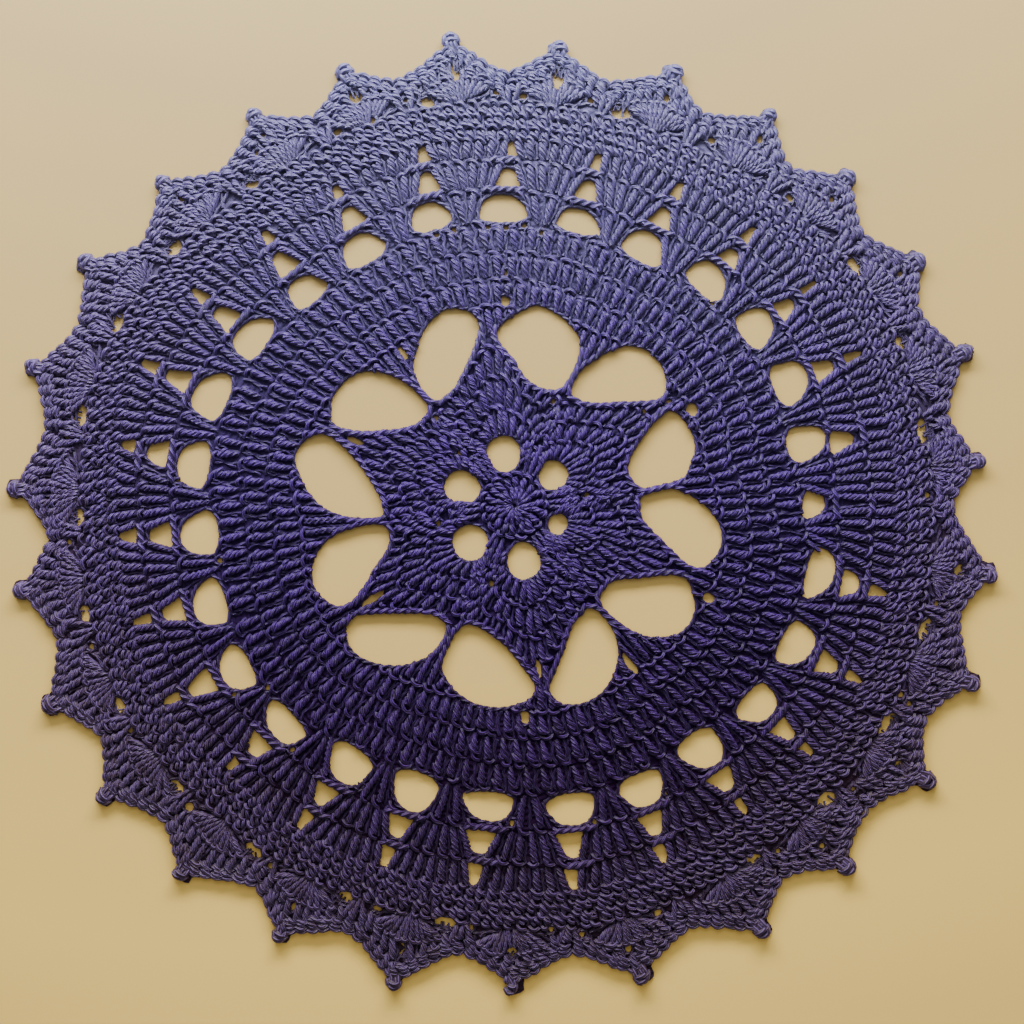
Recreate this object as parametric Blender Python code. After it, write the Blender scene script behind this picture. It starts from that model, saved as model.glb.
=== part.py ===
"""A round crocheted lace doily, one closed solid, lying flat on z = 0.

Lengths in the tables are millimetres and angles are degrees, counter-clockwise from +X, as
seen from above. The origin is the starting ring in the middle of the doily.
From the middle outwards the doily has a rosette with six round loops, a six-pointed star,
twelve petal-shaped loops, three plain rounds, three rounds of widening wedges with a hole
between neighbours, three low rounds, and twenty-seven shells with a small knot on each tip.
Every repeat has its own row in the tables, because the handmade rounds are uneven.
"""
import math

import bmesh
import bpy
import numpy as np
from mathutils import Vector
from mathutils.geometry import delaunay_2d_cdt

MM = 0.001

EDGE_HEIGHT = 2.5       # height of the yarn at every free edge
TROUGH_HEIGHT = 2.6     # height between two rounds
CREST_HEIGHT = 3.3      # height of the loops on top of a round
CLEARANCE = 1.5         # a relief point stays this far from a free edge
LOW_ROUND = 4.7         # radial size of one low round

# Twenty-seven shell tips: tip angle, tip radius, knot's right edge and its radius,
# knot's left edge and its radius.
TIPS = [
    (5.4, 189.7, 4.5, 184.6, 6.9, 184.2),
    (18.8, 194.4, 17.4, 187.7, 20.1, 187.4),
    (31.2, 191.9, 29.9, 187.4, 33.0, 186.0),
    (44.6, 190.9, 43.3, 186.0, 46.1, 184.9),
    (56.8, 189.5, 55.9, 186.0, 58.1, 183.5),
    (69.6, 188.4, 68.5, 183.5, 71.5, 182.1),
    (84.4, 187.2, 83.1, 181.7, 86.0, 181.7),
    (97.7, 191.9, 96.5, 185.6, 99.0, 185.3),
    (111.3, 190.0, 110.1, 184.9, 112.8, 183.2),
    (123.7, 190.7, 122.5, 186.0, 125.0, 185.6),
    (137.3, 193.9, 136.3, 189.5, 138.6, 189.5),
    (150.3, 201.1, 149.2, 194.4, 151.9, 194.8),
    (163.8, 204.2, 162.8, 197.2, 165.2, 197.6),
    (178.1, 203.9, 176.7, 198.3, 179.3, 195.1),
    (189.7, 203.9, 188.3, 196.2, 190.9, 198.6),
    (203.3, 205.6, 201.7, 199.5, 204.7, 199.3),
    (215.3, 204.9, 214.2, 199.0, 216.7, 197.6),
    (227.7, 201.6, 226.9, 196.5, 229.4, 196.2),
    (241.3, 199.0, 240.4, 194.4, 242.8, 192.6),
    (255.8, 200.0, 254.7, 194.7, 256.9, 194.5),
    (269.5, 196.3, 269.0, 189.8, 271.4, 189.5),
    (285.1, 198.6, 284.1, 193.3, 286.9, 190.9),
    (300.3, 200.7, 299.2, 194.8, 301.7, 193.0),
    (312.7, 200.7, 311.5, 194.4, 314.0, 192.6),
    (326.4, 203.0, 325.0, 195.5, 327.6, 194.8),
    (338.7, 200.5, 337.7, 193.7, 340.3, 193.3),
    (351.7, 195.6, 350.7, 190.5, 353.5, 189.1),
]

# The dip that follows each tip, counter-clockwise: angle, radius.
DIPS = [
    (11.9, 177.4), (25.6, 180.0), (38.1, 177.4), (50.9, 175.3), (64.4, 174.4),
    (77.6, 174.0), (90.8, 173.9), (105.2, 176.8), (117.3, 175.6), (130.8, 178.0),
    (144.5, 182.2), (157.3, 188.8), (170.9, 189.7), (183.6, 186.9), (196.1, 190.2),
    (209.2, 189.2), (221.9, 188.9), (235.8, 184.4), (248.6, 183.3), (263.0, 180.4),
    (277.2, 181.0), (292.6, 183.1), (306.2, 183.8), (319.2, 186.3), (332.6, 185.4),
    (346.2, 183.6), (359.9, 175.3),
]

# Large holes in the first wedge round: left angle, right angle, inner radius, outer radius,
# lean of the arch (negative is towards the left).
LARGE_HOLES = [
    (3.1, -2.4, 115.6, 123.9, 0.0),
    (15.6, 8.7, 111.7, 127.1, -0.2),
    (28.3, 19.9, 114.0, 128.1, -0.2),
    (40.2, 32.4, 113.8, 127.2, -0.25),
    (53.7, 45.0, 113.2, 125.3, -0.1),
    (67.6, 58.5, 110.0, 121.7, 0.0),
    (81.5, 72.8, 112.1, 121.3, -0.1),
    (96.8, 87.2, 113.6, 124.2, -0.1),
    (110.0, 102.1, 114.9, 125.9, -0.15),
    (124.8, 116.0, 113.3, 125.0, -0.1),
    (137.6, 129.6, 114.2, 125.4, -0.45),
    (151.3, 142.4, 118.4, 130.4, -0.5),
    (164.2, 155.2, 122.2, 135.6, -0.4),
    (176.8, 168.2, 123.0, 135.2, 0.1),
    (189.0, 180.8, 118.7, 133.5, -0.1),
    (201.9, 193.2, 121.3, 134.2, -0.3),
    (214.6, 206.0, 122.8, 134.8, -0.15),
    (227.7, 218.7, 121.6, 132.4, -0.3),
    (241.5, 232.8, 115.6, 129.8, -0.15),
    (255.0, 246.2, 113.1, 128.4, -0.1),
    (269.9, 260.2, 115.0, 125.9, 0.0),
    (285.2, 276.0, 117.3, 129.6, -0.1),
    (298.6, 290.2, 118.0, 131.0, 0.1),
    (311.6, 303.4, 115.6, 130.7, -0.2),
    (324.7, 316.6, 119.6, 132.1, -0.1),
    (338.0, 329.4, 119.4, 132.2, -0.25),
    (352.3, 342.7, 119.9, 130.5, -0.2),
]

# Middle holes in the second wedge round: left, right, inner radius, outer radius.
MIDDLE_HOLES = [
    (13.2, 9.4, 128.7, 138.5),
    (25.8, 22.1, 130.7, 139.4),
    (38.0, 34.3, 130.0, 138.4),
    (50.9, 47.1, 128.5, 135.0),
    (65.2, 60.6, 125.4, 133.4),
    (79.1, 74.6, 125.5, 133.6),
    (93.3, 88.8, 127.4, 135.0),
    (106.9, 102.9, 129.4, 138.0),
    (121.7, 117.1, 128.0, 136.6),
    (135.6, 131.2, 129.0, 138.8),
    (148.9, 144.8, 133.0, 142.8),
    (161.0, 157.3, 138.4, 148.6),
    (173.7, 169.4, 139.8, 148.2),
    (186.7, 182.7, 136.8, 146.4),
    (199.3, 195.1, 138.0, 147.0),
    (211.9, 207.7, 138.4, 149.6),
    (225.3, 220.8, 136.4, 144.4),
    (238.7, 234.4, 134.0, 142.6),
    (252.4, 248.0, 131.4, 140.6),
    (266.9, 261.6, 130.3, 139.4),
    (281.9, 277.4, 132.0, 142.8),
    (295.7, 291.3, 133.9, 143.2),
    (309.6, 305.0, 133.2, 142.4),
    (322.1, 318.5, 136.2, 145.1),
    (335.3, 331.1, 136.0, 144.4),
    (349.2, 344.3, 134.1, 141.4),
]

# Narrow holes in the third wedge round: left, right, inner radius, outer radius.
NARROW_HOLES = [
    (24.7, 23.1, 144.2, 150.8),
    (37.4, 36.0, 143.0, 149.6),
    (50.1, 48.4, 140.3, 146.5),
    (63.6, 61.7, 138.8, 144.8),
    (77.3, 75.6, 138.2, 144.2),
    (91.3, 89.6, 140.0, 145.4),
    (105.5, 103.6, 141.8, 147.6),
    (120.2, 118.4, 141.7, 146.6),
    (133.6, 131.3, 143.2, 148.6),
    (147.2, 145.2, 148.0, 154.2),
    (160.0, 157.9, 152.2, 158.8),
    (172.0, 170.1, 153.2, 158.6),
    (185.6, 183.5, 151.2, 157.6),
    (197.8, 196.3, 151.2, 158.8),
    (210.2, 208.7, 153.0, 159.8),
    (223.2, 221.9, 150.0, 155.4),
    (237.2, 235.3, 146.8, 154.4),
    (251.0, 249.0, 144.6, 152.6),
    (264.9, 262.7, 143.4, 152.3),
    (279.9, 278.0, 147.0, 154.7),
    (293.8, 292.1, 146.8, 154.3),
    (307.9, 306.5, 146.8, 153.3),
    (321.0, 319.6, 149.4, 154.9),
    (334.0, 332.4, 148.4, 155.0),
    (347.6, 345.9, 145.6, 152.5),
]

# Gaps at the foot of the shells and under some tips: left, right, inner, outer radius.
SHELL_GAPS = [
    (12.2, 9.0, 163.6, 168.6),
    (24.5, 21.8, 166.0, 169.9),
    (37.2, 33.9, 164.8, 169.5),
    (76.4, 73.6, 160.1, 166.5),
    (103.1, 100.9, 162.7, 168.1),
    (130.1, 127.9, 163.9, 168.8),
    (144.0, 141.4, 168.0, 173.6),
    (156.8, 154.0, 172.4, 177.9),
    (169.7, 166.8, 174.4, 179.3),
    (182.7, 180.1, 171.9, 176.3),
    (195.7, 193.0, 175.1, 179.6),
    (208.3, 205.5, 174.7, 179.1),
    (221.1, 218.6, 173.3, 177.9),
    (234.3, 231.7, 170.5, 175.2),
    (248.0, 245.6, 168.0, 172.6),
    (262.3, 259.2, 166.6, 171.4),
    (305.3, 303.2, 168.9, 172.8),
    (318.1, 315.3, 168.4, 174.6),
    (331.5, 328.0, 170.2, 175.1),
    (344.9, 341.8, 169.4, 174.1),
    (84.9, 83.3, 168.0, 176.2),
    (98.2, 96.9, 172.0, 179.5),
    (112.0, 110.2, 172.6, 178.6),
    (270.5, 269.0, 176.3, 180.9),
    (256.1, 255.0, 179.8, 185.6),
    (326.7, 325.2, 183.5, 188.4),
    (352.6, 351.0, 177.6, 182.4),
]

# Slits in the star tips and in the first plain round: left, right, inner, outer radius.
SLITS = [
    (30.4, 26.4, 78.6, 83.2),
    (93.9, 91.0, 79.8, 84.2),
    (127.0, 125.0, 72.5, 78.8),
    (158.5, 156.8, 65.0, 72.6),
    (214.3, 212.2, 62.5, 73.2),
    (274.5, 271.4, 82.1, 87.2),
    (279.4, 277.8, 62.0, 70.0),
    (307.6, 305.2, 74.0, 82.6),
    (335.9, 333.4, 83.5, 88.6),
]

# Round loops of the rosette: angle and radius of the middle, radial size, width.
ROSETTE_LOOPS = [
    (38.0, 19.8, 12.0, 11.2),
    (101.0, 21.1, 14.5, 13.0),
    (160.3, 21.7, 14.2, 12.8),
    (220.2, 22.6, 14.0, 14.0),
    (280.2, 22.0, 14.8, 12.8),
    (337.5, 18.8, 7.6, 8.6),
]

# Petal loops, one row for each. Angle and radius at the corner by the star tip, at four
# places on the outer arch, at the outer corner by the spoke, halfway down the spoke, at the
# inner corner by the spoke and at four places back along the star.
PETALS = [
    (100.9, 74.0, 103.4, 79.8, 109.6, 82.7, 117.0, 78.6, 122.3, 72.6, 126.4, 67.2,
     127.9, 60.7, 127.1, 52.4, 121.9, 52.0, 115.8, 53.5, 108.1, 60.4, 103.1, 67.6),
    (96.1, 68.4, 91.6, 74.5, 84.6, 79.8, 78.5, 79.0, 73.0, 75.3, 68.7, 71.2,
     66.4, 62.8, 68.1, 51.0, 73.8, 48.6, 81.0, 49.4, 86.2, 53.0, 91.9, 61.2),
    (36.4, 72.4, 38.2, 77.0, 43.5, 81.0, 50.0, 81.2, 56.0, 76.2, 60.8, 66.6,
     63.7, 59.5, 63.6, 50.8, 58.1, 50.2, 51.9, 52.2, 45.0, 59.0, 39.6, 65.8),
    (32.1, 70.2, 29.8, 74.6, 23.8, 76.5, 18.2, 75.9, 13.0, 71.8, 9.6, 68.2,
     8.3, 60.0, 8.0, 51.8, 13.1, 48.2, 19.2, 48.2, 25.8, 54.3, 30.2, 63.7),
    (341.2, 75.2, 343.1, 80.6, 348.6, 83.7, 354.5, 82.2, 359.8, 76.4, 365.2, 66.6,
     366.1, 60.6, 364.6, 51.4, 359.8, 50.6, 353.8, 51.9, 347.6, 60.0, 343.1, 68.6),
    (337.4, 73.0, 334.8, 78.2, 329.6, 83.3, 323.5, 83.5, 318.0, 78.0, 314.0, 69.8,
     312.0, 61.0, 311.7, 51.6, 316.9, 49.3, 323.1, 49.8, 330.0, 58.0, 335.0, 65.8),
    (281.0, 74.6, 283.6, 80.8, 290.0, 83.2, 296.4, 81.2, 302.1, 76.0, 306.6, 68.9,
     308.9, 60.5, 307.6, 50.9, 302.4, 51.2, 296.2, 53.2, 289.6, 60.7, 284.1, 68.4),
    (276.7, 72.5, 274.2, 77.1, 267.6, 80.1, 260.0, 80.4, 252.4, 77.0, 246.5, 71.2,
     245.2, 62.6, 246.6, 52.4, 252.2, 50.4, 259.2, 52.2, 267.4, 56.9, 273.2, 64.9),
    (214.7, 78.2, 217.4, 84.0, 222.8, 86.3, 229.2, 82.8, 235.0, 77.1, 239.9, 68.9,
     241.7, 61.0, 240.8, 54.8, 236.2, 53.8, 230.5, 55.8, 223.8, 62.3, 218.3, 69.8),
    (210.5, 77.0, 208.4, 82.4, 202.6, 85.7, 196.4, 83.7, 191.3, 77.3, 188.7, 69.4,
     187.7, 61.0, 188.2, 52.9, 192.6, 50.8, 198.2, 53.0, 203.6, 60.5, 208.2, 68.3),
    (159.3, 79.6, 161.0, 85.3, 166.8, 89.4, 172.8, 85.3, 178.4, 78.9, 182.8, 69.6,
     184.5, 60.0, 184.1, 52.4, 179.0, 52.7, 172.8, 56.0, 166.5, 62.3, 161.8, 69.8),
    (155.8, 76.0, 154.6, 80.8, 148.0, 84.2, 141.5, 82.8, 135.8, 77.0, 132.1, 67.6,
     130.8, 60.5, 130.9, 52.2, 136.0, 50.5, 142.3, 52.2, 148.8, 59.1, 153.6, 67.2),
]

# Outer radius of the star between the petals: angle, radius.
STAR_RADIUS = [
    (7.0, 50.5), (34.0, 70.0), (65.0, 49.5), (98.5, 69.0), (129.0, 51.5), (157.6, 73.0),
    (186.2, 52.5), (212.7, 73.0), (243.8, 53.5), (279.0, 70.0), (310.2, 50.5), (339.4, 71.0),
]

# Shapes of the holes in a unit box: across from left to right, and outwards.
LARGE_SHAPE = [
    (-1.0, 0.2), (-0.9, 0.55), (-0.68, 0.86), (-0.3, 1.0), (0.12, 1.0), (0.52, 0.88),
    (0.82, 0.58), (1.0, 0.22), (0.6, 0.03), (0.0, 0.0), (-0.6, 0.04),
]
MIDDLE_SHAPE = [
    (-1.0, 0.06), (-0.86, 0.5), (-0.5, 0.9), (0.0, 1.0), (0.5, 0.86), (0.86, 0.48),
    (1.0, 0.06), (0.45, 0.0), (-0.45, 0.02),
]
NARROW_SHAPE = [
    (-1.0, 0.1), (-0.9, 0.6), (-0.3, 1.0), (0.5, 0.96), (0.95, 0.5), (0.9, 0.04), (0.0, 0.0),
]
GAP_SHAPE = [
    (-1.0, 0.5), (-0.5, 0.95), (0.4, 0.9), (1.0, 0.4), (0.5, 0.04), (-0.5, 0.05),
]


def polar(angle, radius):
    """A point of the plan in millimetres."""
    turn = math.radians(angle)
    return (radius * math.cos(turn), radius * math.sin(turn))


def boxed_hole(shape, left, right, inner, outer, lean=0.0):
    """A hole of the given shape, fitted between two angles and two radii."""
    points = []
    for across, out in shape:
        shift = lean * out * (1.0 - across * across) * 0.5
        angle = 0.5 * (left + right) - 0.5 * (left - right) * (across + shift)
        points.append(polar(angle, inner + (outer - inner) * out))
    return points


def loop_hole(angle, radius, deep, wide, count=10):
    """A round loop, narrower towards the middle of the doily."""
    centre = Vector(polar(angle, radius))
    outward = Vector(polar(angle, 1.0))
    sideways = Vector((-outward.y, outward.x))
    points = []
    for i in range(count):
        turn = 2.0 * math.pi * i / count
        narrowing = 1.0 + 0.12 * math.cos(turn)
        point = (centre + outward * (0.5 * deep * math.cos(turn))
                 + sideways * (0.5 * wide * narrowing * math.sin(turn)))
        points.append((point.x, point.y))
    return points


def petal_hole(row, count=20):
    """A smooth closed curve through the twelve places of a petal's row."""
    marks = [Vector(polar(row[i], row[i + 1])) for i in range(0, len(row), 2)]
    size = len(marks)
    points = []
    for i in range(count):
        place = i * size / count
        k = int(place)
        t = place - k
        a, b, c, d = (marks[(k + j) % size] for j in (-1, 0, 1, 2))
        point = 0.5 * (2.0 * b + (c - a) * t + (2.0 * a - 5.0 * b + 4.0 * c - d) * t * t
                       + (3.0 * b - a - 3.0 * c + d) * t * t * t)
        points.append((point.x, point.y))
    return points


def outline():
    """The scalloped edge: up each slope, round the knot on the tip and down again."""
    points = []
    for k, (tip, top, right, right_base, left, left_base) in enumerate(TIPS):
        before, before_radius = DIPS[k - 1]
        if k == 0:
            before -= 360.0
        after, after_radius = DIPS[k]
        points.append(polar(before, before_radius))
        for part in (0.3, 0.56, 0.8):
            radius = before_radius + (right_base - before_radius) * part ** 1.5
            points.append(polar(before + (right - before) * part, radius))
        points.append(polar(right, right_base))
        points.append(polar(right - 0.05, right_base + 0.62 * (top - right_base)))
        points.append(polar(tip + 0.55 * (right - tip), top - 0.6))
        points.append(polar(tip, top))
        points.append(polar(tip + 0.55 * (left - tip), top - 0.6))
        points.append(polar(left + 0.05, left_base + 0.62 * (top - left_base)))
        points.append(polar(left, left_base))
        for part in (0.8, 0.56, 0.3):
            radius = after_radius + (left_base - after_radius) * part ** 1.5
            points.append(polar(after + (left - after) * part, radius))
    return points


def around(pairs, angle):
    """A value read between the two neighbouring rows of an (angle, value) table."""
    angles = np.array([a for a, _ in pairs])
    values = np.array([v for _, v in pairs])
    order = np.argsort(angles % 360.0)
    return float(np.interp(angle % 360.0, (angles % 360.0)[order], values[order], period=360.0))


def middles(rows, low, high):
    """(angle, value) pairs at the middle of each hole, a mix of its two radii."""
    return [(0.5 * (row[0] + row[1]), low * row[2] + high * row[3]) for row in rows]


def all_holes():
    holes = [boxed_hole(LARGE_SHAPE, *row) for row in LARGE_HOLES]
    holes += [boxed_hole(MIDDLE_SHAPE, *row) for row in MIDDLE_HOLES]
    holes += [boxed_hole(NARROW_SHAPE, *row) for row in NARROW_HOLES]
    holes += [boxed_hole(GAP_SHAPE, *row) for row in SHELL_GAPS]
    holes += [boxed_hole(GAP_SHAPE, *row) for row in SLITS]
    holes += [loop_hole(*row) for row in ROSETTE_LOOPS]
    holes += [petal_hole(row) for row in PETALS]
    return holes


def relief_rings():
    """Closed rings of (points, height): loops on top of each round and dips between."""
    foot = middles(LARGE_HOLES, 1.0, 0.0)
    first = middles(LARGE_HOLES, 0.0, 1.0)
    second_low = middles(MIDDLE_HOLES, 1.0, 0.0)
    second_high = middles(MIDDLE_HOLES, 0.0, 1.0)
    third_low = middles(NARROW_HOLES, 1.0, 0.0)
    third_high = middles(NARROW_HOLES, 0.0, 1.0)
    steps = 108
    rings = []

    def ring(count, height, radius_at, turn=0.0):
        points = []
        for i in range(count):
            angle = 360.0 * (i + turn) / count
            points.append(polar(angle, radius_at(angle)))
        rings.append((points, height))

    def top_of_plain(angle, down):
        return around(foot, angle) - 2.0 - down

    def row_top(lower, upper, angle):
        return 0.5 * (around(lower, angle) + around(upper, angle))

    ring(12, CREST_HEIGHT, lambda a: 5.0)
    ring(18, CREST_HEIGHT, lambda a: 10.5, 0.5)
    for share, height in ((0.62, TROUGH_HEIGHT), (0.74, CREST_HEIGHT), (0.86, TROUGH_HEIGHT)):
        ring(54, height, lambda a, s=share: s * around(STAR_RADIUS, a))
    for down, height in ((28.0, TROUGH_HEIGHT), (22.5, CREST_HEIGHT), (17.0, TROUGH_HEIGHT),
                         (11.5, CREST_HEIGHT), (6.0, TROUGH_HEIGHT), (0.8, CREST_HEIGHT)):
        ring(steps, height, lambda a, d=down: top_of_plain(a, d), 0.5)
    ring(steps, TROUGH_HEIGHT, lambda a: 0.5 * (around(foot, a) + around(first, a)), 0.25)
    ring(steps, CREST_HEIGHT, lambda a: row_top(first, second_low, a), 0.5)
    ring(steps, TROUGH_HEIGHT, lambda a: row_top(second_low, second_high, a), 0.25)
    ring(steps, CREST_HEIGHT, lambda a: row_top(second_high, third_low, a), 0.5)
    ring(steps, TROUGH_HEIGHT, lambda a: row_top(third_low, third_high, a), 0.25)
    for k in range(7):
        height = TROUGH_HEIGHT if k % 2 else CREST_HEIGHT
        ring(135, height, lambda a, n=k: around(third_high, a) + 1.6 + 0.5 * LOW_ROUND * n,
             0.5 * (k % 2))
    dips = list(DIPS)
    ring(135, TROUGH_HEIGHT, lambda a: around(dips, a) - 5.6, 0.25)
    ring(135, CREST_HEIGHT, lambda a: around(dips, a) - 2.6, 0.75)
    return rings


def inside(points, loop):
    """For each point, whether it lies inside the closed loop."""
    x, y = points[:, 0], points[:, 1]
    hit = np.zeros(len(points), dtype=bool)
    for (ax, ay), (bx, by) in zip(loop, loop[1:] + loop[:1]):
        if ay == by:
            continue
        crosses = (ay > y) != (by > y)
        hit ^= crosses & (x < (bx - ax) * (y - ay) / (by - ay) + ax)
    return hit


def nearest_edge(points, loop):
    """Distance from each point to the closed loop."""
    best = np.full(len(points), np.inf)
    for a, b in zip(loop, loop[1:] + loop[:1]):
        a = np.array(a)
        step = np.array(b) - a
        along = np.clip(((points - a) @ step) / (step @ step), 0.0, 1.0)
        gap = points - (a + along[:, None] * step)
        best = np.minimum(best, np.hypot(gap[:, 0], gap[:, 1]))
    return best


def doily_mesh():
    edge = outline()
    holes = all_holes()
    points, heights, segments = [], [], []
    for loop in [edge] + holes:
        start = len(points)
        points += loop
        heights += [EDGE_HEIGHT] * len(loop)
        segments += [(start + i, start + (i + 1) % len(loop)) for i in range(len(loop))]
    for ring, height in relief_rings():
        spots = np.array(ring)
        keep = inside(spots, edge) & (nearest_edge(spots, edge) > CLEARANCE)
        for hole in holes:
            keep &= ~inside(spots, hole)
            keep &= nearest_edge(spots, hole) > CLEARANCE
        index = {}
        for i in np.flatnonzero(keep):
            index[int(i)] = len(points)
            points.append(ring[i])
            heights.append(height)
        for i in index:
            after = (i + 1) % len(ring)
            if after in index:
                segments.append((index[i], index[after]))

    flat, _, faces, sources, _, _ = delaunay_2d_cdt(
        [Vector(p) for p in points], segments, [], 0, 1e-4)
    plan = np.array([(v.x, v.y) for v in flat])
    tops = [max((heights[s] for s in source), default=EDGE_HEIGHT) for source in sources]
    centres = np.array([plan[list(face)].mean(axis=0) for face in faces])
    solid = inside(centres, edge)
    for hole in holes:
        solid &= ~inside(centres, hole)
    kept = [tuple(face) for face, use in zip(faces, solid) if use]
    used = sorted({i for face in kept for i in face})
    place = {old: new for new, old in enumerate(used)}
    kept = [tuple(place[i] for i in face) for face in kept]
    plan = plan[used]
    tops = [tops[i] for i in used]

    sheet = bmesh.new()
    corners = [sheet.verts.new((x * MM, y * MM, 0.0)) for x, y in plan]
    for face in kept:
        sheet.faces.new([corners[i] for i in face])
    grown = bmesh.ops.extrude_face_region(sheet, geom=sheet.faces[:])["geom"]
    height_at = {corner.co.xy[:]: top for corner, top in zip(corners, tops)}
    for item in grown:
        if isinstance(item, bmesh.types.BMVert):
            item.co.z = height_at[item.co.xy[:]] * MM
    bmesh.ops.triangulate(sheet, faces=sheet.faces[:])
    bmesh.ops.recalc_face_normals(sheet, faces=sheet.faces[:])
    mesh = bpy.data.meshes.new("doily")
    sheet.to_mesh(mesh)
    sheet.free()
    return mesh


def yarn_material():
    material = bpy.data.materials.new("violet_yarn")
    material.use_nodes = True
    surface = material.node_tree.nodes["Principled BSDF"]
    surface.inputs["Base Color"].default_value = (0.065, 0.055, 0.200, 1.0)
    surface.inputs["Roughness"].default_value = 0.9
    surface.inputs["Sheen Weight"].default_value = 0.3
    return material


for stray in list(bpy.data.objects):
    bpy.data.objects.remove(stray, do_unlink=True)

lace = bpy.data.collections.new("lace_doily")
bpy.context.scene.collection.children.link(lace)
doily = bpy.data.objects.new("doily", doily_mesh())
doily.data.materials.append(yarn_material())
lace.objects.link(doily)
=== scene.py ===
# %% [markdown]
# # A round crocheted lace doily
#
# This notebook dresses a flat, packed doily in yarn. The real thing is one long thread, worked
# round after round: a rosette, a star, petal loops, plain rounds, wedges with holes between them,
# low rounds, and shells with a small knot on every tip. Nobody would model two thousand stitches
# by hand. We write down where every stitch begins and ends, and let Geometry Nodes lay the yarn.

import math

import bmesh
import bpy
import numpy as np
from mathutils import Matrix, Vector
from mathutils.geometry import delaunay_2d_cdt
from mathutils.kdtree import KDTree


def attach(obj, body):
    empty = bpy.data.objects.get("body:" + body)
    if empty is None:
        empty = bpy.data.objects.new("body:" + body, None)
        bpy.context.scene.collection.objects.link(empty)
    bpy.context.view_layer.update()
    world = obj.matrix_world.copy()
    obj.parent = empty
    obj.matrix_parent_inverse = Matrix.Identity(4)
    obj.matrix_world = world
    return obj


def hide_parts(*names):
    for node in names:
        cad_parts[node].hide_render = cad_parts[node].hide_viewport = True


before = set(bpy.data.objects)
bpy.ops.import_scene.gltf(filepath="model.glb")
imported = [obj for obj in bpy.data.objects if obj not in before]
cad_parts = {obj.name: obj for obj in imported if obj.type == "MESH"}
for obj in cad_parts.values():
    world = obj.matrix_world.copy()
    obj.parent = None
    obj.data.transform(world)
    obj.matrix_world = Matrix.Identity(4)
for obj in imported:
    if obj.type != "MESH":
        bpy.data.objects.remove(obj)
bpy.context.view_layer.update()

# %% [markdown]
# ## The uneven repeats
#
# A handmade doily is never quite regular, so every repeat gets a row of its own in a short table.
# Lengths are millimetres, angles are degrees, counter-clockwise from +X, and the origin is the
# starting ring. Polar numbers suit work in the round: one angle, one radius.

# %% Tables of the edge
MM = 0.001

# Tip angle, tip radius, knot's right edge and its radius, knot's left edge and its radius.
TIPS = [
    (5.4, 189.7, 4.5, 184.6, 6.9, 184.2),
    (18.8, 194.4, 17.4, 187.7, 20.1, 187.4),
    (31.2, 191.9, 29.9, 187.4, 33.0, 186.0),
    (44.6, 190.9, 43.3, 186.0, 46.1, 184.9),
    (56.8, 189.5, 55.9, 186.0, 58.1, 183.5),
    (69.6, 188.4, 68.5, 183.5, 71.5, 182.1),
    (84.4, 187.2, 83.1, 181.7, 86.0, 181.7),
    (97.7, 191.9, 96.5, 185.6, 99.0, 185.3),
    (111.3, 190.0, 110.1, 184.9, 112.8, 183.2),
    (123.7, 190.7, 122.5, 186.0, 125.0, 185.6),
    (137.3, 193.9, 136.3, 189.5, 138.6, 189.5),
    (150.3, 201.1, 149.2, 194.4, 151.9, 194.8),
    (163.8, 204.2, 162.8, 197.2, 165.2, 197.6),
    (178.1, 203.9, 176.7, 198.3, 179.3, 195.1),
    (189.7, 203.9, 188.3, 196.2, 190.9, 198.6),
    (203.3, 205.6, 201.7, 199.5, 204.7, 199.3),
    (215.3, 204.9, 214.2, 199.0, 216.7, 197.6),
    (227.7, 201.6, 226.9, 196.5, 229.4, 196.2),
    (241.3, 199.0, 240.4, 194.4, 242.8, 192.6),
    (255.8, 200.0, 254.7, 194.7, 256.9, 194.5),
    (269.5, 196.3, 269.0, 189.8, 271.4, 189.5),
    (285.1, 198.6, 284.1, 193.3, 286.9, 190.9),
    (300.3, 200.7, 299.2, 194.8, 301.7, 193.0),
    (312.7, 200.7, 311.5, 194.4, 314.0, 192.6),
    (326.4, 203.0, 325.0, 195.5, 327.6, 194.8),
    (338.7, 200.5, 337.7, 193.7, 340.3, 193.3),
    (351.7, 195.6, 350.7, 190.5, 353.5, 189.1),
]

# The dip that follows each tip: angle, radius.
DIPS = [
    (11.9, 177.4), (25.6, 180.0), (38.1, 177.4), (50.9, 175.3), (64.4, 174.4),
    (77.6, 174.0), (90.8, 173.9), (105.2, 176.8), (117.3, 175.6), (130.8, 178.0),
    (144.5, 182.2), (157.3, 188.8), (170.9, 189.7), (183.6, 186.9), (196.1, 190.2),
    (209.2, 189.2), (221.9, 188.9), (235.8, 184.4), (248.6, 183.3), (263.0, 180.4),
    (277.2, 181.0), (292.6, 183.1), (306.2, 183.8), (319.2, 186.3), (332.6, 185.4),
    (346.2, 183.6), (359.9, 175.3),
]

# %% [markdown]
# ## The holes
#
# The holes come in families: three rows between the wedges, gaps and slits near the edge, six
# round loops in the rosette, and the petals round the star. Most have two angles and two radii.

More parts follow.
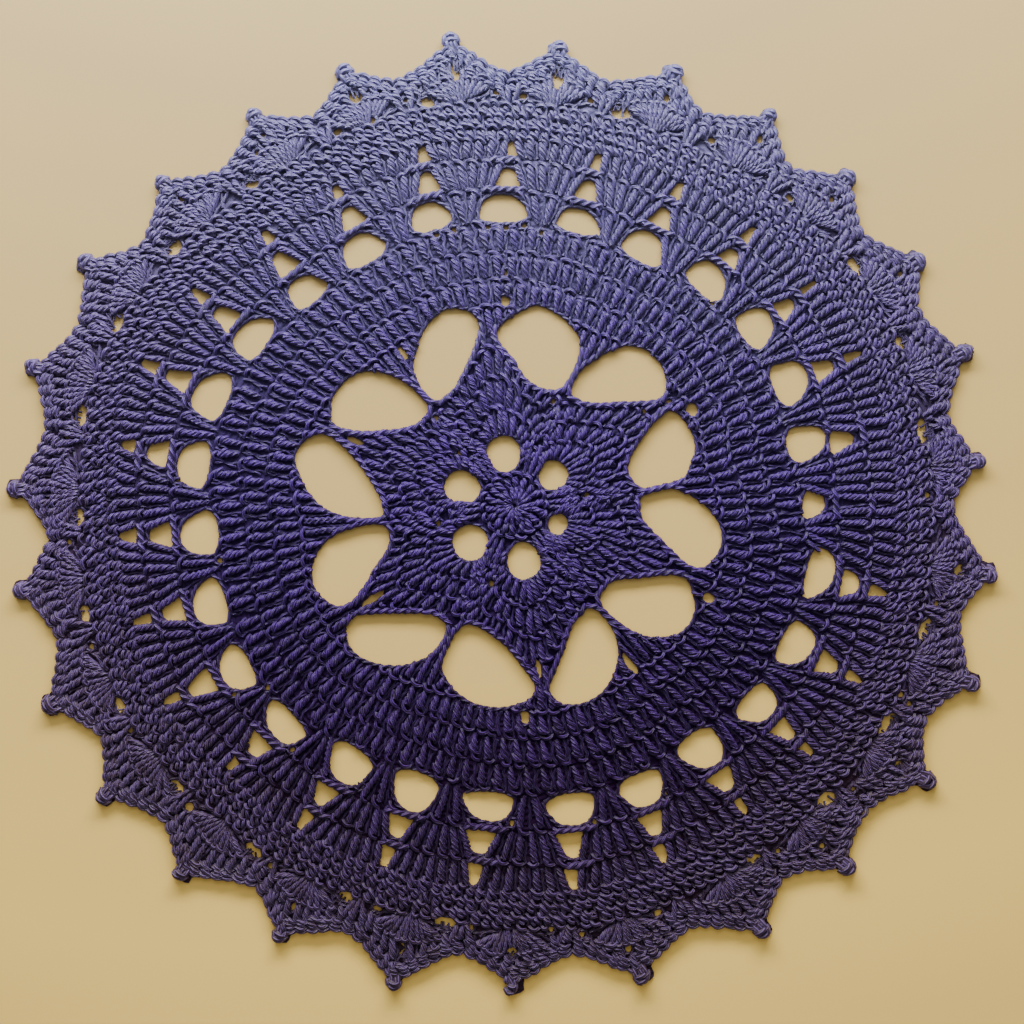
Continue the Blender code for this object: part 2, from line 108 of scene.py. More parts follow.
# %% Tables of the holes
# Large holes in the first wedge round: left angle, right angle, inner radius, outer radius,
# lean of the arch (negative is towards the left).
LARGE_HOLES = [
    (3.1, -2.4, 115.6, 123.9, 0.0),
    (15.6, 8.7, 111.7, 127.1, -0.2),
    (28.3, 19.9, 114.0, 128.1, -0.2),
    (40.2, 32.4, 113.8, 127.2, -0.25),
    (53.7, 45.0, 113.2, 125.3, -0.1),
    (67.6, 58.5, 110.0, 121.7, 0.0),
    (81.5, 72.8, 112.1, 121.3, -0.1),
    (96.8, 87.2, 113.6, 124.2, -0.1),
    (110.0, 102.1, 114.9, 125.9, -0.15),
    (124.8, 116.0, 113.3, 125.0, -0.1),
    (137.6, 129.6, 114.2, 125.4, -0.45),
    (151.3, 142.4, 118.4, 130.4, -0.5),
    (164.2, 155.2, 122.2, 135.6, -0.4),
    (176.8, 168.2, 123.0, 135.2, 0.1),
    (189.0, 180.8, 118.7, 133.5, -0.1),
    (201.9, 193.2, 121.3, 134.2, -0.3),
    (214.6, 206.0, 122.8, 134.8, -0.15),
    (227.7, 218.7, 121.6, 132.4, -0.3),
    (241.5, 232.8, 115.6, 129.8, -0.15),
    (255.0, 246.2, 113.1, 128.4, -0.1),
    (269.9, 260.2, 115.0, 125.9, 0.0),
    (285.2, 276.0, 117.3, 129.6, -0.1),
    (298.6, 290.2, 118.0, 131.0, 0.1),
    (311.6, 303.4, 115.6, 130.7, -0.2),
    (324.7, 316.6, 119.6, 132.1, -0.1),
    (338.0, 329.4, 119.4, 132.2, -0.25),
    (352.3, 342.7, 119.9, 130.5, -0.2),
]

# Middle holes in the second wedge round: left, right, inner radius, outer radius.
MIDDLE_HOLES = [
    (13.2, 9.4, 128.7, 138.5),
    (25.8, 22.1, 130.7, 139.4),
    (38.0, 34.3, 130.0, 138.4),
    (50.9, 47.1, 128.5, 135.0),
    (65.2, 60.6, 125.4, 133.4),
    (79.1, 74.6, 125.5, 133.6),
    (93.3, 88.8, 127.4, 135.0),
    (106.9, 102.9, 129.4, 138.0),
    (121.7, 117.1, 128.0, 136.6),
    (135.6, 131.2, 129.0, 138.8),
    (148.9, 144.8, 133.0, 142.8),
    (161.0, 157.3, 138.4, 148.6),
    (173.7, 169.4, 139.8, 148.2),
    (186.7, 182.7, 136.8, 146.4),
    (199.3, 195.1, 138.0, 147.0),
    (211.9, 207.7, 138.4, 149.6),
    (225.3, 220.8, 136.4, 144.4),
    (238.7, 234.4, 134.0, 142.6),
    (252.4, 248.0, 131.4, 140.6),
    (266.9, 261.6, 130.3, 139.4),
    (281.9, 277.4, 132.0, 142.8),
    (295.7, 291.3, 133.9, 143.2),
    (309.6, 305.0, 133.2, 142.4),
    (322.1, 318.5, 136.2, 145.1),
    (335.3, 331.1, 136.0, 144.4),
    (349.2, 344.3, 134.1, 141.4),
]

# Narrow holes in the third wedge round: left, right, inner radius, outer radius.
NARROW_HOLES = [
    (24.7, 23.1, 144.2, 150.8),
    (37.4, 36.0, 143.0, 149.6),
    (50.1, 48.4, 140.3, 146.5),
    (63.6, 61.7, 138.8, 144.8),
    (77.3, 75.6, 138.2, 144.2),
    (91.3, 89.6, 140.0, 145.4),
    (105.5, 103.6, 141.8, 147.6),
    (120.2, 118.4, 141.7, 146.6),
    (133.6, 131.3, 143.2, 148.6),
    (147.2, 145.2, 148.0, 154.2),
    (160.0, 157.9, 152.2, 158.8),
    (172.0, 170.1, 153.2, 158.6),
    (185.6, 183.5, 151.2, 157.6),
    (197.8, 196.3, 151.2, 158.8),
    (210.2, 208.7, 153.0, 159.8),
    (223.2, 221.9, 150.0, 155.4),
    (237.2, 235.3, 146.8, 154.4),
    (251.0, 249.0, 144.6, 152.6),
    (264.9, 262.7, 143.4, 152.3),
    (279.9, 278.0, 147.0, 154.7),
    (293.8, 292.1, 146.8, 154.3),
    (307.9, 306.5, 146.8, 153.3),
    (321.0, 319.6, 149.4, 154.9),
    (334.0, 332.4, 148.4, 155.0),
    (347.6, 345.9, 145.6, 152.5),
]

# Gaps at the foot of the shells and under some tips: left, right, inner, outer radius.
SHELL_GAPS = [
    (12.2, 9.0, 163.6, 168.6),
    (24.5, 21.8, 166.0, 169.9),
    (37.2, 33.9, 164.8, 169.5),
    (76.4, 73.6, 160.1, 166.5),
    (103.1, 100.9, 162.7, 168.1),
    (130.1, 127.9, 163.9, 168.8),
    (144.0, 141.4, 168.0, 173.6),
    (156.8, 154.0, 172.4, 177.9),
    (169.7, 166.8, 174.4, 179.3),
    (182.7, 180.1, 171.9, 176.3),
    (195.7, 193.0, 175.1, 179.6),
    (208.3, 205.5, 174.7, 179.1),
    (221.1, 218.6, 173.3, 177.9),
    (234.3, 231.7, 170.5, 175.2),
    (248.0, 245.6, 168.0, 172.6),
    (262.3, 259.2, 166.6, 171.4),
    (305.3, 303.2, 168.9, 172.8),
    (318.1, 315.3, 168.4, 174.6),
    (331.5, 328.0, 170.2, 175.1),
    (344.9, 341.8, 169.4, 174.1),
    (84.9, 83.3, 168.0, 176.2),
    (98.2, 96.9, 172.0, 179.5),
    (112.0, 110.2, 172.6, 178.6),
    (270.5, 269.0, 176.3, 180.9),
    (256.1, 255.0, 179.8, 185.6),
    (326.7, 325.2, 183.5, 188.4),
    (352.6, 351.0, 177.6, 182.4),
]

# Slits in the star tips and in the first plain round: left, right, inner, outer radius.
SLITS = [
    (30.4, 26.4, 78.6, 83.2),
    (93.9, 91.0, 79.8, 84.2),
    (127.0, 125.0, 72.5, 78.8),
    (158.5, 156.8, 65.0, 72.6),
    (214.3, 212.2, 62.5, 73.2),
    (274.5, 271.4, 82.1, 87.2),
    (279.4, 277.8, 62.0, 70.0),
    (307.6, 305.2, 74.0, 82.6),
    (335.9, 333.4, 83.5, 88.6),
]

# Round loops of the rosette: angle and radius of the middle, radial size, width.
ROSETTE_LOOPS = [
    (38.0, 19.8, 12.0, 11.2),
    (101.0, 21.1, 14.5, 13.0),
    (160.3, 21.7, 14.2, 12.8),
    (220.2, 22.6, 14.0, 14.0),
    (280.2, 22.0, 14.8, 12.8),
    (337.5, 18.8, 7.6, 8.6),
]

# Petal loops, one row for each. Angle and radius at the corner by the star tip, at four
# places on the outer arch, at the outer corner by the spoke, halfway down the spoke, at the
# inner corner by the spoke and at four places back along the star.
PETALS = [
    (100.9, 74.0, 103.4, 79.8, 109.6, 82.7, 117.0, 78.6, 122.3, 72.6, 126.4, 67.2,
     127.9, 60.7, 127.1, 52.4, 121.9, 52.0, 115.8, 53.5, 108.1, 60.4, 103.1, 67.6),
    (96.1, 68.4, 91.6, 74.5, 84.6, 79.8, 78.5, 79.0, 73.0, 75.3, 68.7, 71.2,
     66.4, 62.8, 68.1, 51.0, 73.8, 48.6, 81.0, 49.4, 86.2, 53.0, 91.9, 61.2),
    (36.4, 72.4, 38.2, 77.0, 43.5, 81.0, 50.0, 81.2, 56.0, 76.2, 60.8, 66.6,
     63.7, 59.5, 63.6, 50.8, 58.1, 50.2, 51.9, 52.2, 45.0, 59.0, 39.6, 65.8),
    (32.1, 70.2, 29.8, 74.6, 23.8, 76.5, 18.2, 75.9, 13.0, 71.8, 9.6, 68.2,
     8.3, 60.0, 8.0, 51.8, 13.1, 48.2, 19.2, 48.2, 25.8, 54.3, 30.2, 63.7),
    (341.2, 75.2, 343.1, 80.6, 348.6, 83.7, 354.5, 82.2, 359.8, 76.4, 365.2, 66.6,
     366.1, 60.6, 364.6, 51.4, 359.8, 50.6, 353.8, 51.9, 347.6, 60.0, 343.1, 68.6),
    (337.4, 73.0, 334.8, 78.2, 329.6, 83.3, 323.5, 83.5, 318.0, 78.0, 314.0, 69.8,
     312.0, 61.0, 311.7, 51.6, 316.9, 49.3, 323.1, 49.8, 330.0, 58.0, 335.0, 65.8),
    (281.0, 74.6, 283.6, 80.8, 290.0, 83.2, 296.4, 81.2, 302.1, 76.0, 306.6, 68.9,
     308.9, 60.5, 307.6, 50.9, 302.4, 51.2, 296.2, 53.2, 289.6, 60.7, 284.1, 68.4),
    (276.7, 72.5, 274.2, 77.1, 267.6, 80.1, 260.0, 80.4, 252.4, 77.0, 246.5, 71.2,
     245.2, 62.6, 246.6, 52.4, 252.2, 50.4, 259.2, 52.2, 267.4, 56.9, 273.2, 64.9),
    (214.7, 78.2, 217.4, 84.0, 222.8, 86.3, 229.2, 82.8, 235.0, 77.1, 239.9, 68.9,
     241.7, 61.0, 240.8, 54.8, 236.2, 53.8, 230.5, 55.8, 223.8, 62.3, 218.3, 69.8),
    (210.5, 77.0, 208.4, 82.4, 202.6, 85.7, 196.4, 83.7, 191.3, 77.3, 188.7, 69.4,
     187.7, 61.0, 188.2, 52.9, 192.6, 50.8, 198.2, 53.0, 203.6, 60.5, 208.2, 68.3),
    (159.3, 79.6, 161.0, 85.3, 166.8, 89.4, 172.8, 85.3, 178.4, 78.9, 182.8, 69.6,
     184.5, 60.0, 184.1, 52.4, 179.0, 52.7, 172.8, 56.0, 166.5, 62.3, 161.8, 69.8),
    (155.8, 76.0, 154.6, 80.8, 148.0, 84.2, 141.5, 82.8, 135.8, 77.0, 132.1, 67.6,
     130.8, 60.5, 130.9, 52.2, 136.0, 50.5, 142.3, 52.2, 148.8, 59.1, 153.6, 67.2),
]

# Outer radius of the star between the petals: angle, radius.
STAR_RADIUS = [
    (7.0, 50.5), (34.0, 70.0), (65.0, 49.5), (98.5, 69.0), (129.0, 51.5), (157.6, 73.0),
    (186.2, 52.5), (212.7, 73.0), (243.8, 53.5), (279.0, 70.0), (310.2, 50.5), (339.4, 71.0),
]

# Shapes of the holes in a unit box: across from left to right, and outwards.
LARGE_SHAPE = [
    (-1.0, 0.2), (-0.9, 0.55), (-0.68, 0.86), (-0.3, 1.0), (0.12, 1.0), (0.52, 0.88),
    (0.82, 0.58), (1.0, 0.22), (0.6, 0.03), (0.0, 0.0), (-0.6, 0.04),
]
MIDDLE_SHAPE = [
    (-1.0, 0.06), (-0.86, 0.5), (-0.5, 0.9), (0.0, 1.0), (0.5, 0.86), (0.86, 0.48),
    (1.0, 0.06), (0.45, 0.0), (-0.45, 0.02),
]
NARROW_SHAPE = [
    (-1.0, 0.1), (-0.9, 0.6), (-0.3, 1.0), (0.5, 0.96), (0.95, 0.5), (0.9, 0.04), (0.0, 0.0),
]
GAP_SHAPE = [
    (-1.0, 0.5), (-0.5, 0.95), (0.4, 0.9), (1.0, 0.4), (0.5, 0.04), (-0.5, 0.05),
]

# Specks of floor between single stitches: angle, radius, depth, width. They are far too small to
# be holes of the solid.
SPECKS = [
    (87.9, 112.0, 1.6, 2.4), (91.6, 111.3, 1.6, 2.2), (95.3, 111.9, 1.6, 2.0),
    (102.3, 112.6, 1.8, 2.6), (105.9, 112.7, 1.6, 2.2), (92.1, 93.0, 2.0, 2.2),
    (84.2, 109.5, 1.8, 1.2), (176.0, 134.6, 2.2, 1.8), (190.5, 119.4, 2.4, 1.8),
    (214.0, 134.6, 2.2, 1.8), (216.5, 122.0, 2.4, 1.8), (227.7, 131.4, 2.2, 1.8),
    (241.2, 127.5, 2.2, 1.8), (269.6, 126.5, 2.4, 1.8), (284.3, 130.0, 2.4, 1.8),
    (298.2, 130.0, 2.4, 1.8), (8.6, 29.4, 1.8, 2.0), (69.4, 44.6, 1.8, 1.8),
    (131.7, 47.0, 1.8, 1.8), (135.7, 30.2, 2.0, 1.8), (192.8, 31.1, 1.8, 2.2),
    (253.9, 32.2, 2.0, 2.2), (45.6, 113.2, 1.4, 1.6), (17.6, 113.4, 1.8, 1.6),
    (33.8, 74.6, 1.8, 1.8), (36.0, 64.5, 3.2, 1.2), (52.1, 104.6, 1.2, 1.2),
]

# Small see-through pockets between the shells and under their tips.
POCKETS = [
    (56.2, 176.0, 3.6, 2.4), (44.0, 176.2, 2.0, 2.0), (48.2, 165.0, 1.8, 3.8),
    (31.0, 180.0, 2.2, 2.6), (17.8, 180.0, 2.2, 2.2), (1.5, 165.2, 1.8, 2.6),
    (115.2, 165.0, 2.2, 3.8), (110.3, 164.0, 2.4, 2.8), (105.0, 167.5, 1.4, 1.6),
    (92.4, 165.2, 2.0, 3.0), (88.7, 163.5, 2.2, 3.4), (79.2, 164.8, 2.0, 3.6),
    (69.5, 173.6, 3.8, 2.0), (61.6, 165.8, 2.2, 3.2), (171.2, 180.6, 2.0, 2.4),
    (158.2, 180.6, 2.0, 2.4), (137.3, 180.6, 2.2, 2.4), (124.2, 178.4, 1.8, 2.4),
    (126.0, 174.2, 1.6, 2.2), (236.0, 173.4, 2.2, 3.0), (222.8, 176.6, 3.4, 3.2),
    (210.2, 177.4, 2.0, 3.6), (198.4, 177.8, 1.8, 3.0), (184.6, 178.2, 1.8, 2.6),
    (289.5, 172.2, 2.2, 3.2), (284.5, 182.4, 2.8, 2.4), (279.0, 173.2, 1.8, 3.0),
    (275.0, 169.6, 1.8, 2.8), (264.0, 169.4, 2.0, 3.2), (255.5, 182.2, 3.2, 2.2),
    (250.8, 174.2, 1.8, 2.6), (251.2, 169.6, 1.8, 3.8), (241.2, 182.4, 3.2, 2.0),
    (347.0, 173.2, 1.6, 2.4), (333.4, 176.4, 1.6, 2.2), (334.0, 172.0, 1.6, 3.2),
    (325.4, 184.0, 2.6, 1.8), (320.2, 176.2, 1.6, 2.4), (312.2, 183.2, 2.2, 2.0),
    (307.4, 173.6, 1.6, 2.2),
]

# %% [markdown]
# ## From tables to curves
#
# `around` reads a value between two neighbouring rows of a table, all the way round the circle,
# so every round can swell and shrink as the real one does. A spline through the landmarks turns
# each hole into a smooth loop, because yarn never makes a sharp corner.

# %% Small helpers
def polar(angle, radius):
    """A point of the plan, in millimetres."""
    turn = math.radians(angle)
    return np.array((radius * math.cos(turn), radius * math.sin(turn)))


def around(pairs):
    """Turn (angle, value) rows into a function of the angle that reads between them."""
    rows = sorted((angle % 360.0, value) for angle, value in pairs)
    angles = [angle for angle, _ in rows]
    values = [value for _, value in rows]
    return lambda angle: float(np.interp(angle % 360.0, angles, values, period=360.0))


def middles(rows, low, high):
    """A function that reads a mix of the holes' inner and outer radii at any angle."""
    return around([(0.5 * (row[0] + row[1]), low * row[2] + high * row[3]) for row in rows])


def boxed_hole(shape, left, right, inner, outer, lean=0.0):
    """Landmarks of a hole that fills the space between two angles and two radii."""
    marks = []
    for across, out in shape:
        shift = lean * out * (1.0 - across * across) * 0.5
        angle = 0.5 * (left + right) - 0.5 * (left - right) * (across + shift)
        marks.append(polar(angle, inner + (outer - inner) * out))
    return marks


def loop_hole(angle, radius, deep, wide, count=10):
    """Landmarks of a round loop, a little narrower towards the middle of the doily."""
    outward = polar(angle, 1.0)
    sideways = np.array((-outward[1], outward[0]))
    turns = [2.0 * math.pi * i / count for i in range(count)]
    return [polar(angle, radius) + outward * (0.5 * deep * math.cos(turn))
            + sideways * (0.5 * wide * (1.0 + 0.12 * math.cos(turn)) * math.sin(turn))
            for turn in turns]


def pairs_of(row):
    """The (angle, radius) pairs of a flat row."""
    return list(zip(row[0::2], row[1::2]))


def edge_marks():
    """Landmarks of the scallops and knots, all the way round."""
    marks = []
    for k, (tip, top, right, right_base, left, left_base) in enumerate(TIPS):
        before, before_radius = DIPS[k - 1]
        before -= 360.0 if k == 0 else 0.0
        after, after_radius = DIPS[k]
        marks.append((before, before_radius))
        for part in (0.3, 0.56, 0.8):
            marks.append((before + (right - before) * part,
                          before_radius + (right_base - before_radius) * part ** 1.5))
        marks.append((right, right_base))
        marks.append((right - 0.05, right_base + 0.62 * (top - right_base)))
        marks.append((tip + 0.55 * (right - tip), top - 0.6))
        marks.append((tip, top))
        marks.append((tip + 0.55 * (left - tip), top - 0.6))
        marks.append((left + 0.05, left_base + 0.62 * (top - left_base)))
        marks.append((left, left_base))
        for part in (0.8, 0.56, 0.3):
            marks.append((after + (left - after) * part,
                          after_radius + (left_base - after_radius) * part ** 1.5))
    return [polar(*mark) for mark in marks]


def smooth_loop(marks, spacing):
    """An evenly spaced closed spline through the landmarks."""
    marks = np.array(marks)
    before, after, beyond = (np.roll(marks, n, axis=0) for n in (1, -1, -2))
    dense = []
    for t in np.arange(0.0, 1.0, 0.125):
        dense.append(0.5 * (2.0 * marks + (after - before) * t
                            + (2.0 * before - 5.0 * marks + 4.0 * after - beyond) * t ** 2
                            + (3.0 * marks - before - 3.0 * after + beyond) * t ** 3))
    dense = np.stack(dense, axis=1).reshape(-1, 2)
    closed = np.vstack([dense, dense[:1]])
    run = np.concatenate([[0.0], np.cumsum(np.hypot(*np.diff(closed, axis=0).T))])
    count = max(6, round(run[-1] / spacing))
    stops = run[-1] * np.arange(count) / count
    return np.column_stack([np.interp(stops, run, closed[:, axis]) for axis in (0, 1)])


def moved_out(loop, distance):
    """The loop with every point moved outwards by a distance, or inwards if it is negative."""
    ahead = np.roll(loop, -1, axis=0) - np.roll(loop, 1, axis=0)
    ahead /= np.maximum(np.hypot(*ahead.T), 1e-9)[:, None]
    x, y = loop.T
    turns_left = np.sum(x * np.roll(y, -1) - np.roll(x, -1) * y) > 0.0
    outwards = np.column_stack([ahead[:, 1], -ahead[:, 0]]) * (1.0 if turns_left else -1.0)
    return loop + distance * outwards


hole_marks = [boxed_hole(LARGE_SHAPE, *row) for row in LARGE_HOLES]
hole_marks += [boxed_hole(MIDDLE_SHAPE, *row) for row in MIDDLE_HOLES]
hole_marks += [boxed_hole(NARROW_SHAPE, *row) for row in NARROW_HOLES]
hole_marks += [boxed_hole(GAP_SHAPE, *row) for row in SHELL_GAPS + SLITS]
hole_marks += [loop_hole(*row) for row in ROSETTE_LOOPS]
hole_marks += [loop_hole(*row) for row in SPECKS + POCKETS]
hole_marks += [[polar(*pair) for pair in pairs_of(row)] for row in PETALS]
holes = [smooth_loop(marks, 1.2) for marks in hole_marks]
edge = smooth_loop(edge_marks(), 1.2)
print(len(holes), "holes; the edge is", round(1.2 * len(edge)), "mm long")

# %% [markdown]
# ## How much fabric there is at a point
#
# A stitch next to a hole must not reach into it. `room` measures how far a point lies inside the
# fabric, with a minus sign in a hole or past the edge. A k-d tree finds the nearest point of an
# edge quickly. Every loop runs with the fabric on its left, so the side tells in from out.

# %% Measure the room
def area_of(loop):
    x, y = loop.T
    return 0.5 * float(np.sum(x * np.roll(y, -1) - np.roll(x, -1) * y))


walls = [loop if area_of(loop) < 0.0 else loop[::-1] for loop in holes]
walls.append(edge if area_of(edge) > 0.0 else edge[::-1])
headings = [np.roll(loop, -1, axis=0) - np.roll(loop, 1, axis=0) for loop in walls]
walls, headings = np.concatenate(walls), np.concatenate(headings)
headings /= np.hypot(*headings.T)[:, None]
wall_tree = KDTree(len(walls))
for index, (x, y) in enumerate(walls):
    wall_tree.insert((x, y, 0.0), index)
wall_tree.balance()


def room(points):
    """Distance from each point to the nearest free edge, negative outside the fabric."""
    points = np.asarray(points)
    nearest = [wall_tree.find((x, y, 0.0))[1] for x, y in points]
    gap, heading = points - walls[nearest], headings[nearest]
    side = heading[:, 0] * gap[:, 1] - heading[:, 1] * gap[:, 0]
    ahead = np.sum(heading * gap, axis=1)
    far = np.where(np.abs(ahead) < 0.8, np.abs(side), np.hypot(*gap.T))
    return np.where(side > 0.0, far, -far)

# %% [markdown]
# ## Charts
#
# A crochet pattern is drawn as a chart of small symbols. Ours is a list with one row for each
# piece of yarn: where it starts and ends, how wide it is at both ends, how high it lies and how
# far it turns. Posts are the upright parts of the stitches, loops bend over their tops, and
# under-strands fill the shade between them. The random numbers have a fixed seed, so the doily
# comes out the same every time.

# %% A chart of stitches
random = np.random.default_rng(27)
LEAD = 6.4              # a bundle of strands turns once round itself in this length


class Chart:
    """One row for each stitch: start, end, two widths, two heights and how far it turns."""

    def __init__(self):
        self.rows = []

    def lay(self, start, end, widths, heights, wobble=0.25, turns=None):
        start = np.asarray(start) + random.normal(0.0, wobble, 2)
        end = np.asarray(end) + random.normal(0.0, wobble, 2)
        if turns is None:
            turns = np.hypot(*(end - start)) / LEAD * random.uniform(0.85, 1.15)
        heights = np.array(heights) + random.normal(0.0, 0.4 * wobble)
        self.rows.append((*start, *end, *widths, *heights, turns))

    def rope(self, points, width, height, closed=True):
        """Half turns of a two-stranded rope, end to end along a path."""
        ends = np.roll(points, -1, axis=0) if closed else points[1:]
        for start, end in zip(points, ends):
            self.lay(start, end, (width, width), (height, height), 0.05, 0.5)

    def trimmed(self, least):
        """Rows as an array, drawn back from the holes and narrowed beside them."""
        rows = np.array(self.rows)
        for here, there in ((slice(0, 2), slice(2, 4)), (slice(2, 4), slice(0, 2))):
            short = np.flatnonzero(room(rows[:, here]) < least)
            for _ in range(6):
                rows[short, here] += 0.12 * (rows[short, there] - rows[short, here])
                short = short[room(rows[short, here]) < least] if len(short) else short
        start, end = rows[:, 0:2], rows[:, 2:4]
        rows[:, 4] = np.clip(rows[:, 4], 0.9, np.maximum(2.0 * room(start) + 0.8, 0.9))
        rows[:, 5] = np.clip(rows[:, 5], 0.9, np.maximum(2.0 * room(end) + 0.8, 0.9))
        middle = room(0.5 * (start + end))
        return rows[(middle > least) & (np.hypot(*(end - start).T) > 1.5)]


# %% [markdown]
# ## Plain rounds
#
# Three rounds of tall stitches lie between the petals and the wedges, 108 stitches in each. They
# follow the feet of the large holes, so the rounds are as far off centre as the real ones. Below
# them shorter stitches fill the corners between the petal arches.

# %% Chart of the plain rounds
foot = middles(LARGE_HOLES, 1.0, 0.0)
plain_posts, plain_loops, plain_under = Chart(), Chart(), Chart()
STITCHES = 108
ROUND_TOPS = (1.2, 12.2, 23.2)  # how far the rounds' tops lie inside the feet of the holes
TREBLE = 10.2                   # height of a tall stitch

arch_rows = []
for row in PETALS:
    arch_rows += pairs_of(row)[:6]
for angle, radius in STAR_RADIUS:
    arch_rows.append((angle, 64.0 if radius < 60.0 else radius + 1.0))
arch = around(arch_rows)

for i in range(STITCHES):
    for down in ROUND_TOPS:
        angle = 360.0 * (i + 0.02 * down) / STITCHES + random.normal(0.0, 0.25)
        top = foot(angle) - down
        base = top - TREBLE
        widths, heights = (2.6, 3.8), (0.6, 1.6)
        if down > 20.0 and arch(angle) > base - 1.0:
            base, widths, heights = arch(angle) - 0.2, (3.5, 3.8), (1.1, 1.6)
        plain_posts.lay(polar(angle - 0.5, base), polar(angle, top - 2.0), widths, heights)
        plain_under.lay(polar(angle + 1.3, base), polar(angle + 1.7, top), (2.2, 3.0), (0.9, 0.9))
        plain_under.lay(polar(angle + 2.2, base + 1.0), polar(angle + 0.9, top - 1.0), (2.2, 2.2),
                        (1.0, 0.9))
        half = 28.6 * random.normal(4.1, 0.5) / top
        lean = random.normal(1.4, 0.6)
        plain_loops.lay(polar(angle + 0.5 - half, top - 1.1 - lean),
                        polar(angle + 0.5 + half, top - 1.1 + lean), (4.2, 4.2), (0.9, 0.9),
                        0.35, 0.0)
        plain_loops.lay(polar(angle - 0.2 - 0.7 * half, top - 4.4),
                        polar(angle - 0.1 + 0.6 * half, top - 2.4), (3.6, 3.6), (1.2, 1.0),
                        0.35, 0.0)
    angle = 360.0 * (i + 0.3) / STITCHES
    top, base = foot(angle) - 34.4, arch(angle) - 0.2
    if top - base > 2.0:
        plain_posts.lay(polar(angle, base), polar(angle, top - 0.8), (3.4, 3.8), (1.1, 1.5))
        plain_under.lay(polar(angle + 1.7, base), polar(angle + 1.7, top), (2.2, 2.6), (1.0, 1.0))
        plain_loops.lay(polar(angle - 1.4, top - 0.6), polar(angle + 1.8, top + 0.6),
                        (4.0, 4.0), (1.2, 1.2), 0.35, 0.0)
print(len(plain_posts.rows), "posts and", len(plain_loops.rows), "loops in the plain rounds")

# %% [markdown]
# ## Wedge rounds
#
# Twenty-seven wedges grow in three rows, from four stitches to seven. Between two wedges the yarn
# crosses in a short chain, and the hole under it is what we see through. Each row of a wedge is
# a fan: its feet share the space between two holes, and its tops reach over the holes' corners.

# %% Chart of the wedges
first_top = middles(LARGE_HOLES, 0.0, 1.0)
second_foot = middles(MIDDLE_HOLES, 1.0, 0.0)
second_top = middles(MIDDLE_HOLES, 0.0, 1.0)
third_foot = middles(NARROW_HOLES, 1.0, 0.0)
third_top = middles(NARROW_HOLES, 0.0, 1.0)
wedge_posts, wedge_loops, wedge_under, chains = (Chart() for _ in range(4))


def nearest_hole(rows, angle, half_width):
    """Left and right angle of the row's hole near an angle, or of a closed one."""
    for left, right, *_ in rows:
        middle = 0.5 * (left + right)
        turn = (angle - middle + 180.0) % 360.0 - 180.0
        if abs(turn) < 4.0:
            return angle - turn + 0.5 * (left - right), angle - turn - 0.5 * (left - right)
    return angle + half_width, angle - half_width


# Row of the wedge: holes beside it, stitches, share of the space that the feet take, how far
# the tops reach over the holes, and the post's widths.
WEDGE_ROWS = [
    (LARGE_HOLES, 4, 0.84, 0.42, (3.2, 3.9)),
    (MIDDLE_HOLES, 6, 0.98, 0.45, (3.2, 3.9)),
    (NARROW_HOLES, 7, 1.02, 0.50, (3.4, 4.0)),
]


def row_limits(level, angle):
    """Radii of the foot and the top of one row of the wedges."""
    if level == 0:
        return foot(angle) - 0.3, 0.5 * (first_top(angle) + second_foot(angle)) - 0.3
    if level == 1:
        return (0.5 * (first_top(angle) + second_foot(angle)) + 1.2,
                0.5 * (second_top(angle) + third_foot(angle)) - 0.4)
    return 0.5 * (second_top(angle) + third_foot(angle)) + 1.2, third_top(angle) + 1.0


for k, (left, right, *_) in enumerate(LARGE_HOLES):
    following = LARGE_HOLES[(k + 1) % len(LARGE_HOLES)]
    here = 0.5 * (left + right)
    there = 0.5 * (following[0] + following[1])
    there += 360.0 if there < here else 0.0
    for level, (rows, count, feet, reach, widths) in enumerate(WEDGE_ROWS):
        near_left, near_right = nearest_hole(rows, here, 0.6)
        far_left, far_right = nearest_hole(rows, there, 0.6)
        low_side, high_side = near_left, far_right
        base_middle, base_half = 0.5 * (low_side + high_side), 0.5 * (high_side - low_side)
        top_low = low_side - reach * (near_left - near_right)
        top_high = high_side + reach * (far_left - far_right)
        for i in range(count):
            share = (i + 0.5) / count
            base_angle = base_middle + feet * base_half * (2.0 * share - 1.0)
            top_angle = top_low + (top_high - top_low) * share
            base, top = row_limits(level, top_angle)
            base = row_limits(level, base_angle)[0]
            wedge_posts.lay(polar(base_angle, base), polar(top_angle, top - 1.0), widths,
                            (0.7, 1.5))
            step = (top_high - top_low) / count
            base_step = 2.0 * feet * base_half / count
            wedge_under.lay(polar(base_angle + 0.5 * base_step, base + 0.5),
                            polar(top_angle + 0.5 * step, top), (2.0, 2.4), (0.7, 0.8))
            lean = random.normal(1.4, 0.5)
            wedge_loops.lay(polar(top_angle - 0.34 * step, top - 0.6 - lean),
                            polar(top_angle + 0.34 * step, top - 0.6 + lean), (3.8, 3.8),
                            (1.1, 1.0), 0.35, 0.0)
        arch_half = 0.5 * (near_left - near_right) * (1.0 - reach) + 1.0
        links = max(2, round(math.radians(2.0 * arch_half) * row_limits(level, here)[1] / 3.4))
        if level < 2:
            angles = np.linspace(here - arch_half, here + arch_half, links + 1)
            chains.rope(np.array([polar(a, row_limits(level, a)[1] + 0.9) for a in angles]),
                        3.3, 1.7, closed=False)
print(len(wedge_posts.rows), "posts and", len(wedge_loops.rows), "loops in the wedges")

# %% [markdown]
# ## Low rounds
#
# Three rounds of short stitches tie the wedges together. Seen from above they are mostly their
# own top loops, so the loops count here more than the posts do.

